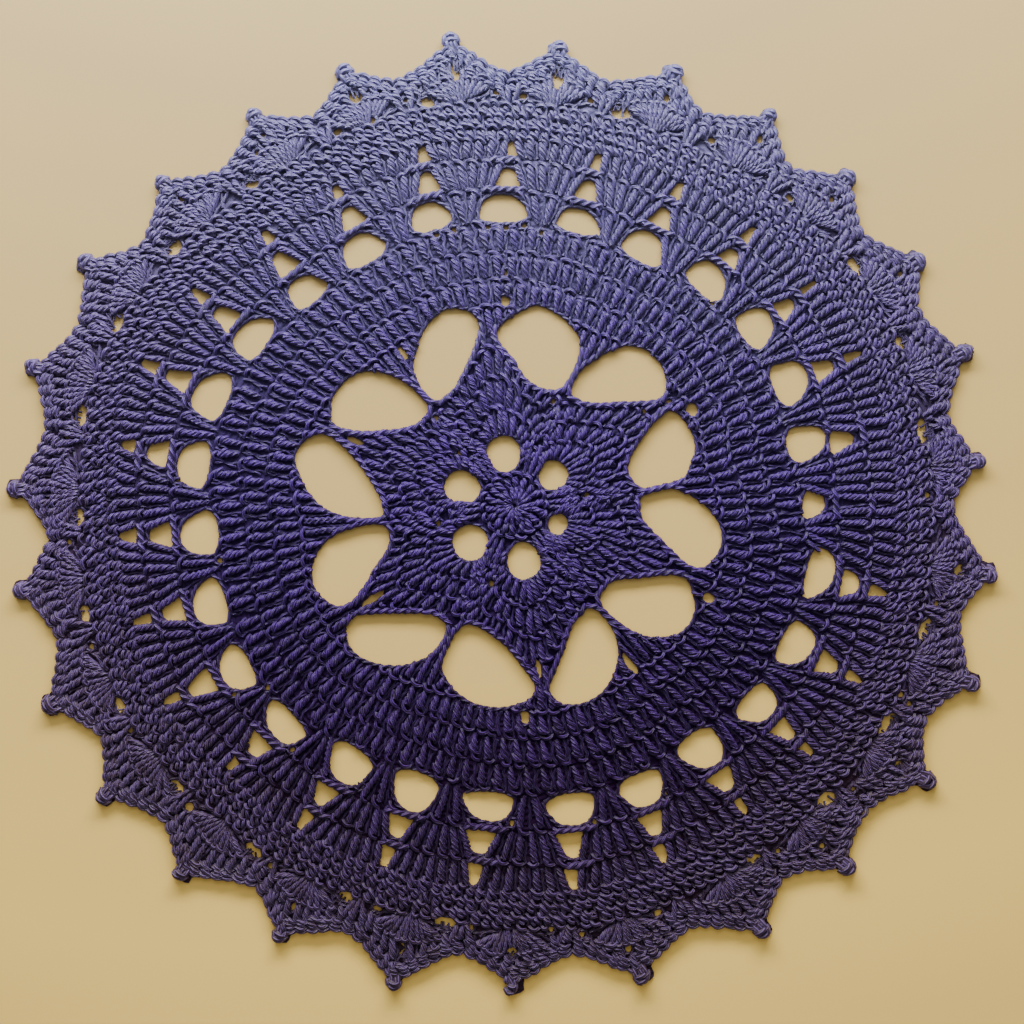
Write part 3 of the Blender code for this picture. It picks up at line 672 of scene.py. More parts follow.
# %% Chart of the low rounds
LOW_ROUND = 4.7                 # height of a short stitch
LOW_STITCHES = 216
low_posts, low_loops, low_under = Chart(), Chart(), Chart()
for level in range(3):
    for i in range(LOW_STITCHES):
        angle = 360.0 * (i + 0.33 * level) / LOW_STITCHES + random.normal(0.0, 0.12)
        base = third_top(angle) + 1.8 + LOW_ROUND * level
        ahead = angle + 360.0 / LOW_STITCHES
        low_posts.lay(polar(angle - 0.35, base - 1.0), polar(angle + 0.35, base + 2.2), (3.4, 4.4),
                      (1.0, 1.5), 0.3, 0.25)
        low_under.lay(polar(angle + 0.75, base - 1.2), polar(angle + 0.95, base + 3.4), (2.2, 2.4),
                      (1.1, 1.2))
        low_loops.lay(polar(angle - 0.62, base + 2.4),
                      polar(angle + 0.66, third_top(ahead) + 5.7 + LOW_ROUND * level),
                      (3.6, 3.6), (1.3, 1.3), 0.4, 0.0)
print(len(low_posts.rows), "posts and", len(low_loops.rows), "loops in the low rounds")

# %% [markdown]
# ## Shells and edging
#
# A shell is a compact fan of stitches worked into one place, which makes the edge swing out to a
# tip. A band of slanted posts lies between the fans and the edge, and thin strands veil the outer
# half of the gaps.

# %% Chart of the shells
shell_posts, shell_loops, shell_under = Chart(), Chart(), Chart()
edge_posts, edge_loops, edge_under, knots = (Chart() for _ in range(4))
slope_rows = []
for k, (tip, top, right, right_base, left, left_base) in enumerate(TIPS):
    before, before_radius = DIPS[k - 1]
    before -= 360.0 if k == 0 else 0.0
    after, after_radius = DIPS[k]
    slope_rows.append((after, after_radius))
    slope_rows.append((tip, 0.5 * (right_base + left_base) + 1.2))
    for part in (0.3, 0.56, 0.8):
        slope_rows.append((before + (right - before) * part,
                           before_radius + (right_base - before_radius) * part ** 1.5))
        slope_rows.append((after + (left - after) * part,
                           after_radius + (left_base - after_radius) * part ** 1.5))
slope = around(slope_rows)
SHELL = 11                      # stitches in a fan


def fan_top(tip, root, angle):
    """Radius where a shell's fan ends: round like a small arch, and low beside it."""
    share = min(abs(angle - tip) / 4.5, 1.25)
    return min(root + 9.8 - 4.2 * share ** 2, slope(angle) - 7.6)


for k, (tip, top, right, right_base, left, left_base) in enumerate(TIPS):
    before = DIPS[k - 1][0] - (360.0 if k == 0 else 0.0)
    after = DIPS[k][0]
    root = third_top(tip) + 15.4
    for i in range(SHELL):
        share = 2.0 * (i + 0.5) / SHELL - 1.0
        foot_angle, angle = tip + 1.9 * share, tip + 4.5 * share
        low, high = root + 2.0 * abs(share), fan_top(tip, root, angle)
        shell_posts.lay(polar(foot_angle, low), polar(angle, high), (2.0, 3.6), (0.7, 1.7))
        shell_under.lay(polar(foot_angle + 0.2, low + 1.0), polar(angle + 0.4, high), (1.8, 2.6),
                        (1.0, 1.1))
        shell_loops.lay(polar(angle - 0.5, high - 0.5), polar(angle + 0.6, high + 0.6), (3.8, 3.8),
                        (1.3, 1.3), 0.45, 0.0)
    for angle in np.arange(before + 0.8, after - 0.5, 1.25):
        low, high = fan_top(tip, root, angle) + 0.4, slope(angle) - 6.4
        if high - low > 2.2:
            shell_posts.lay(polar(angle, low), polar(angle + 0.5, high), (3.4, 3.8),
                            (1.0, 1.6), 0.4)
            shell_under.lay(polar(angle + 0.8, low), polar(angle + 0.8, high), (2.2, 2.4),
                            (1.1, 1.2))
        ahead = angle + 1.3
        shell_loops.lay(polar(angle - 0.3, slope(angle) - 6.6),
                        polar(ahead - 0.1, slope(ahead) - 5.6), (3.8, 3.8), (1.2, 1.2), 0.45, 0.0)
    for turn in (-1.5, 0.0, 1.5):
        shell_posts.lay(polar(after + 0.3 * turn, third_top(after) + 15.6),
                        polar(after + turn, slope(after + turn) - 6.4), (2.4, 3.6), (1.0, 1.6))
        shell_under.lay(polar(after + 2.4 * turn, third_top(after) + 16.4),
                        polar(after + 1.5 * turn, slope(after + turn) - 7.0), (2.2, 2.2),
                        (0.9, 0.9))
    for turn in (-1.0, 1.0):
        shell_under.lay(polar(tip + 1.5 * turn, root + 0.6), polar(tip + 5.0 * turn, root + 3.0),
                        (2.2, 2.2), (1.2, 1.1))
        shell_under.lay(polar(tip + 2.8 * turn, root + 0.4), polar(tip + 4.0 * turn, root + 3.6),
                        (2.2, 2.2), (1.0, 1.1))

# Thin strands and fuzz that cross the outer half of the gaps between the shells.
veils = Chart()
for left, right, inner, outer, *_ in SHELL_GAPS:
    for across in random.uniform(-0.1, 1.1, 7):
        angle = right + (left - right) * across
        deep = random.uniform(0.25, 0.6)
        veils.lay(polar(angle + random.normal(0.0, 0.5), inner + deep * (outer - inner)),
                  polar(angle + random.normal(0.0, 0.5), outer + 1.5), (1.4, 1.4), (0.8, 1.3))
    veils.lay(polar(left + 0.6, outer - 0.5), polar(right - 0.6, outer - 0.3), (1.6, 1.6),
              (1.0, 1.0))
    veils.lay(polar(left + 0.6, outer - 1.2), polar(right - 0.6, outer - 0.9), (1.6, 1.6),
              (0.8, 0.8))

# %% [markdown]
# ## Edging and knots
#
# A last row of short stitches follows the scallops. Its loops make the small bumps of the edge,
# and a few loops pulled into a knot sit on every tip.

# %% Chart of the edging and the knots
EDGE_STITCH = 4.5               # from one bump of the edge to the next
angle = 0.0
while angle < 360.0:
    radius = slope(angle)
    tangent = polar(angle + 0.3, slope(angle + 0.3)) - polar(angle - 0.3, slope(angle - 0.3))
    tangent /= np.hypot(*tangent)
    inward = np.array((-tangent[1], tangent[0]))
    place = polar(angle, radius)
    edge_posts.lay(place + 7.0 * inward - 1.4 * tangent, place + 1.8 * inward + 0.9 * tangent,
                   (3.6, 4.2), (1.1, 1.6), 0.3)
    edge_under.lay(place + 6.0 * inward + 1.3 * tangent, place + 2.0 * inward + 1.9 * tangent,
                   (2.2, 2.2), (1.1, 1.1))
    edge_loops.lay(place + 2.5 * inward - 2.9 * tangent, place + 1.5 * inward + 2.6 * tangent,
                   (4.4, 4.4), (1.1, 1.3), 0.2, 0.0)
    edge_loops.lay(place + 4.0 * inward - 2.1 * tangent, place + 3.0 * inward + 2.3 * tangent,
                   (3.8, 3.8), (1.4, 1.3), 0.3, 0.0)
    angle += math.degrees(EDGE_STITCH * abs(tangent @ polar(angle + 90.0, 1.0)) / radius)

for tip, top, right, right_base, left, left_base in TIPS:
    outward = polar(tip, 1.0)
    sideways = np.array((-outward[1], outward[0]))
    floor = 0.5 * (right_base + left_base) - 0.6
    half = 0.5 * math.radians(left - right) * floor - 1.3
    high = top - floor - 1.2
    heart = polar(tip, floor)
    across, along = half * sideways, high * outward
    for x in (-0.62, 0.0, 0.62):
        knots.lay(heart + x * across - 0.3 * along, heart + 0.9 * x * across + 0.62 * along,
                  (2.6, 2.6), (1.3, 1.3), 0.12)
    for start, end, level in (((-0.95, 0.22), (-0.15, 0.88), 1.3), ((0.15, 0.88), (0.95, 0.22), 1.3),
                              ((-0.62, 0.68), (0.62, 0.72), 2.0), ((-0.8, 0.3), (0.8, 0.36), 2.1)):
        knots.lay(heart + start[0] * across + start[1] * along,
                  heart + end[0] * across + end[1] * along, (3.4, 3.4), (level, level), 0.12, 0.0)
print(len(edge_posts.rows), "short stitches along the edge")

# %% [markdown]
# ## Rosette and star
#
# The work starts with eighteen stitches out of one ring. Six open loops stand on them, and each
# arm of the star is worked round a loop: its stitches fan out from the loop to the two straight
# sides of the arm. So a chart of an arm is a blend from the loop's curve to the star's edge.

# %% Chart of the rosette and the star
star_posts, star_loops, star_under = Chart(), Chart(), Chart()
for i in range(18):
    angle = 20.0 * i + random.normal(0.0, 1.0)
    star_posts.lay(polar(angle, 1.2), polar(angle + 3.0, 7.4), (1.4, 2.8), (1.0, 1.3))
    star_posts.lay(polar(angle + 8.0, 6.6), polar(angle + 6.0, 11.4), (2.4, 3.6), (0.9, 1.5), 0.4)
    star_loops.lay(polar(angle - 5.0, 11.4), polar(angle + 11.0, 12.6), (3.8, 3.8), (1.3, 1.3),
                   0.35, 0.0)

tips = [row for row in STAR_RADIUS if row[1] > 60.0]
notches = [row for row in STAR_RADIUS if row[1] < 60.0]
ARM_ROWS = [(0.0, 0.33, 15), (0.33, 0.67, 18), (0.67, 1.0, 22)]


def arm_sides(notch_before, tip, notch_after):
    """The outer side of an arm as a path: up to the tip and down again."""
    marks = [polar(notch_before[0], 20.0), polar(notch_before[0], notch_before[1] - 3.0),
             polar(tip[0], tip[1] - 2.0), polar(notch_after[0], notch_after[1] - 3.0),
             polar(notch_after[0], 20.0)]
    return lambda s: np.array([np.interp(s, (-1.0, -0.55, 0.0, 0.55, 1.0), [m[axis] for m in marks])
                               for axis in (0, 1)])


for loop_row in ROSETTE_LOOPS:
    angle, radius, deep, wide = loop_row
    tip = min(tips, key=lambda row: abs((row[0] - angle + 180.0) % 360.0 - 180.0))
    gaps = [((row[0] - tip[0] + 180.0) % 360.0 - 180.0, row) for row in notches]
    after = min(((gap, row) for gap, row in gaps if gap > 0.0))[1]
    before = max(((gap, row) for gap, row in gaps if gap < 0.0))[1]
    outer = arm_sides(before, tip, after)
    outward = polar(angle, 1.0)
    sideways = np.array((-outward[1], outward[0]))

    def inner(s):
        turn = math.radians(128.0 * s)
        return (polar(angle, radius) + (0.5 * deep + 0.8) * math.cos(turn) * outward
                + (0.5 * wide + 0.8) * math.sin(turn) * sideways)

    for low, high, count in ARM_ROWS:
        previous = None
        for i in range(count):
            s = 2.0 * (i + 0.5) / count - 1.0
            start, end = inner(s), outer(s)
            span = np.hypot(*(end - start))
            if span < 12.0 and low > 0.0:
                previous = None
                continue
            cut = 1.0 if span < 12.0 else high
            top = start + (cut - 0.03) * (end - start)
            head = top - 1.5 * (end - start) / span
            star_posts.lay(start + low * (end - start), head, (3.4 if low == 0.0 else 2.8, 3.8),
                           (1.1 if low == 0.0 else 0.7, 1.5), 0.4)
            if previous is not None:
                step = top - previous
                tilt = random.normal(1.1, 0.5) * (end - start) / span
                half = step * min(0.4, 1.9 / np.hypot(*step)) + tilt
                middle = 0.5 * (previous + top)
                star_loops.lay(middle - half, middle + half, (3.6, 3.6), (1.3, 1.3), 0.5, 0.0)
                star_under.lay(start + low * (end - start) - 0.4 * step, top - 0.5 * step,
                               (2.2, 2.6), (0.9, 1.1))
            previous = top
for angle, radius in notches:
    for offset in (-3.0, 0.0, 3.0):
        turn = math.degrees(offset / 20.0)
        star_posts.lay(polar(angle + turn, 13.8), polar(angle + turn, 26.0), (2.8, 3.4), (1.1, 1.8))
print(len(star_posts.rows), "posts in the rosette and the star")

# %% [markdown]
# ## Rims
#
# A low cord runs round every hole, mostly hidden, because the stitches wrap over it. The straight
# sides of the star and the spokes between the petals are edged with a rope that does show. The
# outer arches of the petals have none: there the rope would face away from the doily's middle.

# %% Chart of the rims
cords, rims = Chart(), Chart()
for marks in hole_marks:
    cords.rope(moved_out(smooth_loop(marks, 3.3), 1.0), 2.0, 0.85)
for marks in hole_marks[-len(PETALS):]:
    path = moved_out(smooth_loop(marks, 3.6), 1.25)
    outwards = moved_out(path, 1.0) - path
    facing = np.sum(outwards * path, axis=1) / np.hypot(*path.T)
    for start, end, face in zip(path, np.roll(path, -1, axis=0), facing):
        if face < 0.5:
            rims.lay(start, end, (2.8, 2.8), (1.5, 1.5), 0.1, 0.5)
for tip, radius in tips:
    for offset in (-1.8, 1.8):
        turn = math.degrees(offset / radius)
        rims.lay(polar(tip + 1.6 * turn, radius - 5.0), polar(tip + turn, arch(tip) + 1.0),
                 (3.2, 3.2), (1.6, 1.6), 0.2)
print(len(rims.rows), "links along the rims")

# %% [markdown]
# ## Sockets that do sums
#
# Node trees are easier to read as formulas. `Wire` wraps a socket, and Python's operators on it
# add Math nodes, or Vector Math nodes where a vector takes part. `node` adds any other node.

# %% The wire and the node
class Wire:
    """A socket whose operators add nodes to its tree."""

    def __init__(self, socket):
        self.socket = socket
        self.tree = socket.id_data

    def sum_with(self, other, operation, swap=False):
        vector = self.is_vector() or (isinstance(other, Wire) and other.is_vector())
        vector = vector or isinstance(other, tuple)
        a, b = (other, self) if swap else (self, other)
        if vector and operation == "MULTIPLY" and not (is_vector(a) and is_vector(b)):
            a, b = (a, b) if is_vector(a) else (b, a)
            return node(self.tree, "ShaderNodeVectorMath", {0: a, "Scale": b}, operation="SCALE")
        kind = "ShaderNodeVectorMath" if vector else "ShaderNodeMath"
        return node(self.tree, kind, {0: a, 1: b}, operation=operation)

    def is_vector(self):
        return self.socket.type == "VECTOR"

    def __add__(self, other):
        return self.sum_with(other, "ADD")

    def __radd__(self, other):
        return self.sum_with(other, "ADD", True)

    def __sub__(self, other):
        return self.sum_with(other, "SUBTRACT")

    def __rsub__(self, other):
        return self.sum_with(other, "SUBTRACT", True)

    def __mul__(self, other):
        return self.sum_with(other, "MULTIPLY")

    def __rmul__(self, other):
        return self.sum_with(other, "MULTIPLY", True)

    def __truediv__(self, other):
        return self.sum_with(other, "DIVIDE")


def is_vector(value):
    return isinstance(value, tuple) or (isinstance(value, Wire) and value.is_vector())


def node(tree, kind, sockets=None, output=0, **settings):
    """Add a node with its settings, then its sockets' values or links; returns an output."""
    made = tree.nodes.new(kind)
    for name, value in settings.items():
        setattr(made, name, value)
    for name, value in (sockets or {}).items():
        if isinstance(value, Wire):
            tree.links.new(value.socket, made.inputs[name])
        else:
            made.inputs[name].default_value = value
    return Wire(made.outputs[output])


def math_of(value, operation, *others):
    """One Math node that has no operator of its own, such as a sine."""
    sockets = dict(enumerate((value, *others)))
    return node(value.tree, "ShaderNodeMath", sockets, operation=operation)


# %% [markdown]
# ## Laying the yarn
#
# This tree turns a chart into yarn. It puts a bundle of straight strands on every row of the
# chart, then bends each strand into its place: along the stitch, across it by a share of its
# width, and round the bundle's axis by the lead of the twist. A small circle swept along every
# strand gives it its thickness. Length and roundabout are kept as a UV map, which the yarn's
# twist follows later.

# %% The yarn tree
SIZES = [
    ("Strands", "NodeSocketInt"), ("Points", "NodeSocketInt"), ("Sides", "NodeSocketInt"),
    ("Yarn Radius", "NodeSocketFloat"), ("Depth", "NodeSocketFloat"),
    ("Looseness", "NodeSocketFloat"), ("Gathering", "NodeSocketFloat"),
    ("Arch", "NodeSocketFloat"),
    ("Unevenness", "NodeSocketFloat"), ("Seed", "NodeSocketInt"), ("Yarn", "NodeSocketMaterial"),
]


def yarn_tree():
    tree = bpy.data.node_groups.new("Lay the yarn", "GeometryNodeTree")
    tree.interface.new_socket("Chart", in_out="INPUT", socket_type="NodeSocketGeometry")
    for name, kind in SIZES:
        tree.interface.new_socket(name, in_out="INPUT", socket_type=kind)
    tree.interface.new_socket("Yarn", in_out="OUTPUT", socket_type="NodeSocketGeometry")
    entry = tree.nodes.new("NodeGroupInput")
    given = {socket.name: Wire(socket) for socket in entry.outputs if socket.name}

    def stored(geometry, name, value, kind="FLOAT", domain="POINT"):
        return node(tree, "GeometryNodeStoreNamedAttribute",
                    {"Geometry": geometry, "Name": name, "Value": value},
                    data_type=kind, domain=domain)

    def named(name, kind="FLOAT"):
        return node(tree, "GeometryNodeInputNamedAttribute", {"Name": name}, data_type=kind)

    line = node(tree, "GeometryNodeCurvePrimitiveLine", {"End": (0.0, 0.0, 0.001)})
    line = node(tree, "GeometryNodeResampleCurve", {"Curve": line, "Count": given["Points"]})
    line = stored(line, "way", node(tree, "GeometryNodeSplineParameter"))
    copies = node(tree, "GeometryNodeDuplicateElements",
                  {"Geometry": line, "Amount": given["Strands"]}, domain="SPLINE")
    bundle = stored(copies, "strand", Wire(copies.socket.node.outputs["Duplicate Index"]))
    chart = stored(given["Chart"], "tone",
                   node(tree, "FunctionNodeRandomValue", {"Seed": given["Seed"]}, output=1))
    laid = node(tree, "GeometryNodeInstanceOnPoints", {"Points": chart, "Instance": bundle})
    laid = node(tree, "GeometryNodeRealizeInstances", {"Geometry": laid})

    way, strand, tone = named("way"), named("strand"), named("tone")
    start, end, across = (named(n, "FLOAT_VECTOR") for n in ("start", "end", "across"))
    reach = end - start
    width = named("start_width") * (1.0 - way) + named("end_width") * way
    half = math_of(width * 0.5 - given["Yarn Radius"], "MAXIMUM", 0.00012)
    swell = math_of(way * math.pi, "SINE")
    gather = 1.0 - given["Gathering"] + given["Gathering"] * swell
    turn = (named("turns") * way + strand / given["Strands"] + tone * given["Looseness"])
    turn = turn * (2.0 * math.pi)
    aside = math_of(turn, "COSINE") * half * gather
    lifted = math_of(turn, "SINE") * given["Depth"] * gather + given["Arch"] * swell
    up = node(tree, "ShaderNodeCombineXYZ", {"Z": lifted})
    place = start + reach * way + across * aside + up
    rough = node(tree, "ShaderNodeTexNoise", {"Vector": place, "Scale": 210.0, "Detail": 1.0},
                 output=1)
    place = place + (rough - (0.5, 0.5, 0.5)) * given["Unevenness"]
    laid = node(tree, "GeometryNodeSetPosition", {"Geometry": laid, "Position": place})
    laid = node(tree, "GeometryNodeSetCurveRadius",
                {"Curve": laid, "Radius": 0.8 + 0.2 * swell + 0.12 * tone})
    laid = stored(laid, "along", node(tree, "GeometryNodeSplineParameter", output=1))
    circle = node(tree, "GeometryNodeCurvePrimitiveCircle",
                  {"Resolution": given["Sides"], "Radius": given["Yarn Radius"]})
    circle = stored(circle, "about", node(tree, "GeometryNodeSplineParameter"))
    skin = node(tree, "GeometryNodeCurveToMesh",
                {"Curve": laid, "Profile Curve": circle, "Fill Caps": True})

    about = named("about")
    mean = node(tree, "GeometryNodeFieldOnDomain", {0: about}, data_type="FLOAT", domain="FACE")
    seam = math_of(mean, "GREATER_THAN", 0.25) * math_of(about, "LESS_THAN", 0.01)
    chart_uv = node(tree, "ShaderNodeCombineXYZ", {"X": about + seam, "Y": named("along") * 100.0})
    skin = stored(skin, "UVMap", chart_uv, kind="FLOAT2", domain="CORNER")
    skin = node(tree, "GeometryNodeSetShadeSmooth", {"Geometry": skin})
    skin = node(tree, "GeometryNodeRealizeInstances", {"Geometry": skin})
    skin = node(tree, "GeometryNodeSetMaterial", {"Geometry": skin, "Material": given["Yarn"]})
    leave = tree.nodes.new("NodeGroupOutput")
    tree.links.new(skin.socket, leave.inputs[0])
    return tree


lay_yarn = yarn_tree()
print(len(lay_yarn.nodes), "nodes lay the yarn")

# %% [markdown]
# ## The yarn's colour, with painted light and shade
#
# The yarn is soft cotton, dyed dark violet, with several fine threads twisted together. The
# threads are drawn along the UV map: lines that run round the yarn as they run along it. Their
# crests are painted lighter, a painted highlight, and their grooves darker, a painted shade. Low
# parts of the yarn are painted darker still, a painted shade between the stitches. The tone
# function below picks both colours by place, and that too is painted light: darker and brownish
# away from the window, lighter and bluish towards it, and along the fuzzy edge paler crests for
# the fuzz with brownish grooves, a painted shadow of the floor seen through it. A weak sheen
# stands for the fuzz, and each stitch is a little lighter or darker than its neighbour.

# %% Violet yarn
def fresh_material(name, constants):
    material = bpy.data.materials.new(name)
    material.use_nodes = True
    surface = material.node_tree.nodes["Principled BSDF"]
    for socket, value in constants.items():
        surface.inputs[socket].default_value = value
    return material, material.node_tree, surface


def blend(tree, factor, low, high):
    """A Mix node for colours."""
    mixed = tree.nodes.new("ShaderNodeMix")
    mixed.data_type = "RGBA"
    for key, value in ((0, factor), (6, low), (7, high)):
        if isinstance(value, Wire):
            tree.links.new(value.socket, mixed.inputs[key])
        else:
            mixed.inputs[key].default_value = value
    return Wire(mixed.outputs[2])


THREADS = 5

# Colours of the grooves, a painted shade, and of the crests, a painted highlight: away from the
# window with painted shade, in the middle, towards the window with painted light, and along the
# fuzzy edge, with paler crests for the fuzz and brownish grooves, a painted shadow of the floor.
NEAR_PAINTED_SHADE = ((0.007, 0.0005, 0.009, 1.0), (0.055, 0.015, 0.128, 1.0))
MIDDLE = ((0.007, 0.0012, 0.022, 1.0), (0.082, 0.023, 0.258, 1.0))
FAR_PAINTED_LIGHT = ((0.100, 0.096, 0.180, 1.0), (0.078, 0.072, 0.215, 1.0))
FUZZ_AND_FLOOR_SHADOW = ((0.046, 0.024, 0.022, 1.0), (0.175, 0.132, 0.250, 1.0))


def painted_light_tone(tree, step):
    """Painted shade of the grooves (step 0) or painted highlight of crests (step 1) by place."""
    place = node(tree, "ShaderNodeTexCoord", output=3)
    height = node(tree, "ShaderNodeSeparateXYZ", {0: place}, output=1)
    flat = node(tree, "ShaderNodeVectorMath", {0: place}, output=1, operation="LENGTH")
    # Painted light by place: darker away from the window, lighter and bluish towards it.
    lower = node(tree, "ShaderNodeMapRange", {0: height, 1: -0.11, 2: 0.01}, clamp=True)
    upper = node(tree, "ShaderNodeMapRange", {0: height, 1: -0.16, 2: 0.18}, clamp=True)
    # Along the edge: paler crests for the fuzz, and brownish grooves, a painted shadow of the floor.
    outer = node(tree, "ShaderNodeMapRange", {0: flat, 1: 0.125, 2: 0.19, 4: 0.5}, clamp=True)
    colour = blend(tree, lower, NEAR_PAINTED_SHADE[step], MIDDLE[step])
    colour = blend(tree, outer, colour, FUZZ_AND_FLOOR_SHADOW[step])
    return blend(tree, math_of(upper, "POWER", 3.5), colour, FAR_PAINTED_LIGHT[step])


violet_yarn, tree, surface = fresh_material(
    "violet_yarn", {"Roughness": 0.5, "Specular IOR Level": 0.25, "Sheen Weight": 0.08,
                    "Sheen Roughness": 0.4, "Sheen Tint": (0.45, 0.36, 1.0, 1.0)})
chart_uv = node(tree, "ShaderNodeUVMap", uv_map="UVMap")
parts = node(tree, "ShaderNodeSeparateXYZ", {0: chart_uv}).socket.node.outputs
about, along = Wire(parts["X"]), Wire(parts["Y"])
place = node(tree, "ShaderNodeTexCoord").socket.node.outputs["Object"]
fuzz = node(tree, "ShaderNodeTexNoise", {"Vector": Wire(place), "Scale": 2600.0, "Detail": 2.0})
patch = node(tree, "ShaderNodeTexNoise", {"Vector": Wire(place), "Scale": 160.0, "Detail": 2.0})
tone = node(tree, "ShaderNodeAttribute", output=2, attribute_name="tone")
lines = math_of((about * THREADS + along * 2.4 + fuzz * 0.2) * (2.0 * math.pi), "SINE")
threads = math_of(lines * 0.5 + 0.5, "POWER", 2.2)
# Painted shade: the lower the yarn lies, the darker its colour, as in the hollows between stitches.
height = Wire(node(tree, "ShaderNodeSeparateXYZ", {0: Wire(place)}).socket.node.outputs["Z"])
above_painted_shade = node(tree, "ShaderNodeMapRange", {0: height, 1: 0.0012, 2: 0.0029}, clamp=True)
# Painted highlight and shade: the threads' crests take the lighter colour and their grooves the
# darker one. Fuzz, patches and tone vary at random.
light = threads * 0.95 + fuzz * 0.25 + patch * 0.40 + tone * 0.25 - 0.40
light = math_of(light * (0.35 + 0.65 * above_painted_shade), "MAXIMUM", 0.0)
surface_colour = blend(tree, math_of(light, "MINIMUM", 1.0), painted_light_tone(tree, 0),
                       painted_light_tone(tree, 1))
tree.links.new(surface_colour.socket, surface.inputs["Base Color"])
relief = node(tree, "ShaderNodeBump", {"Height": threads * 0.7 + fuzz * 0.5, "Strength": 1.0,
                                       "Distance": 0.00026})
tree.links.new(relief.socket, surface.inputs["Normal"])

# %% [markdown]
# ## Shaded yarn behind the stitches
#
# Between the posts one looks down on more yarn, in deep shade. Rather than thousands of hidden
# strands, a thin sheet with the doily's outline and holes lies under the stitches. Its colour is a
# painted shade: mostly the yarn's dark groove tone, with the same painted light by place, and a
# rough wave in its bump keeps it from looking smooth.

# %% Shaded yarn
shaded_yarn, tree, surface = fresh_material(
    "shaded_yarn", {"Roughness": 0.95, "Specular IOR Level": 0.1})
place = Wire(node(tree, "ShaderNodeTexCoord").socket.node.outputs["Object"])
strands = node(tree, "ShaderNodeTexNoise", {"Vector": place, "Scale": 900.0, "Detail": 3.0})
bands = node(tree, "ShaderNodeTexWave", {"Vector": place, "Scale": 130.0, "Distortion": 6.0,
                                         "Detail": 2.0}, output=1, wave_type="RINGS",
             rings_direction="Z")
# Painted shade: the sheet is coloured mostly with the dark groove tone.
mixed = blend(tree, (strands * 0.6 + bands * 0.4) * 0.15, painted_light_tone(tree, 0), painted_light_tone(tree, 1))
tree.links.new(mixed.socket, surface.inputs["Base Color"])
relief = node(tree, "ShaderNodeBump", {"Height": strands + bands, "Strength": 0.8,
                                       "Distance": 0.0005})
tree.links.new(relief.socket, surface.inputs["Normal"])

# %% [markdown]
# ## From charts to meshes
#
# A chart becomes a cloud of points with its numbers as attributes, the tree turns the points
# into yarn, and `new_from_object` keeps the result as a plain mesh. A post is a bundle of three
# twisted strands, a loop is one strand bent sideways, and ropes and cords have two strands. What
# would hang lower than the table is pressed flat.

# %% Lay the charts
SOCKET = {item.name: item.identifier for item in lay_yarn.interface.items_tree
          if item.in_out == "INPUT"}
PRESSED = 0.0003                # metres; the table presses what hangs lower than this flat


def lay(name, chart, least=0.2, **sizes):
    """Turn a chart into one piece of yarn."""
    rows = chart.trimmed(least)
    start = np.column_stack([rows[:, 0:2], rows[:, 6]]) * MM
    end = np.column_stack([rows[:, 2:4], rows[:, 7]]) * MM
    along = (rows[:, 2:4] - rows[:, 0:2])
    along /= np.hypot(*along.T)[:, None]
    across = np.column_stack([along[:, 1], -along[:, 0], np.zeros(len(rows))])
    cloud = bpy.data.meshes.new(name + "_chart")
    cloud.from_pydata([tuple(p) for p in start], [], [])
    for key, kind, values in (("start", "FLOAT_VECTOR", start), ("end", "FLOAT_VECTOR", end),
                              ("across", "FLOAT_VECTOR", across),
                              ("start_width", "FLOAT", rows[:, 4] * MM),
                              ("end_width", "FLOAT", rows[:, 5] * MM),
                              ("turns", "FLOAT", rows[:, 8])):
        store = cloud.attributes.new(key, kind, "POINT")
        store.data.foreach_set("vector" if values.ndim == 2 else "value",
                               np.ascontiguousarray(values, dtype=np.float32).ravel())
    holder = bpy.data.objects.new(name + "_chart", cloud)
    bpy.context.scene.collection.objects.link(holder)
    modifier = holder.modifiers.new("Lay the yarn", "NODES")
    modifier.node_group = lay_yarn
    for key, value in sizes.items():
        modifier[SOCKET[key.replace("_", " ").title()]] = value
    modifier[SOCKET["Yarn"]] = violet_yarn
    graph = bpy.context.evaluated_depsgraph_get()
    mesh = bpy.data.meshes.new_from_object(holder.evaluated_get(graph))
    mesh.name = name
    spots = np.empty(len(mesh.vertices) * 3, dtype=np.float32)
    mesh.vertices.foreach_get("co", spots)
    spots[2::3] = np.where(spots[2::3] < PRESSED, PRESSED + (spots[2::3] - PRESSED) * 0.2,
                           spots[2::3])
    mesh.vertices.foreach_set("co", spots)
    bpy.data.objects.remove(holder, do_unlink=True)
    for key in ("start", "end", "across", "start_width", "end_width", "turns", "way", "strand",
                "along", "about"):
        if key in mesh.attributes:
            mesh.attributes.remove(mesh.attributes[key])
    piece = bpy.data.objects.new(name, mesh)
    bpy.context.scene.collection.objects.link(piece)
    mesh.calc_loop_triangles()
    print(f"{name}: {len(rows)} rows, {len(mesh.loop_triangles)} triangles")
    return piece


POST = dict(strands=3, points=8, sides=5, yarn_radius=0.00076, depth=0.00080, looseness=1.0,
            gathering=0.30, arch=0.0007, unevenness=0.0012, seed=3)
LOOP = dict(strands=1, points=7, sides=5, yarn_radius=0.00084, depth=0.0, looseness=0.08,
            gathering=1.0, arch=0.0011, unevenness=0.0012, seed=5)
UNDER = dict(strands=1, points=5, sides=4, yarn_radius=0.00080, depth=0.0003, looseness=1.0,
             gathering=0.0, arch=0.0, unevenness=0.0008, seed=7)
VEIL = dict(strands=1, points=6, sides=4, yarn_radius=0.00042, depth=0.0003, looseness=1.0,
            gathering=0.0, arch=0.0002, unevenness=0.0008, seed=11)
ROPE = dict(strands=2, points=5, sides=6, yarn_radius=0.00085, depth=0.0006, looseness=0.0,
            gathering=0.0, arch=0.0, unevenness=0.0004, seed=9)
SHORT = dict(POST, points=6)
SHORTEST = dict(POST, points=5)
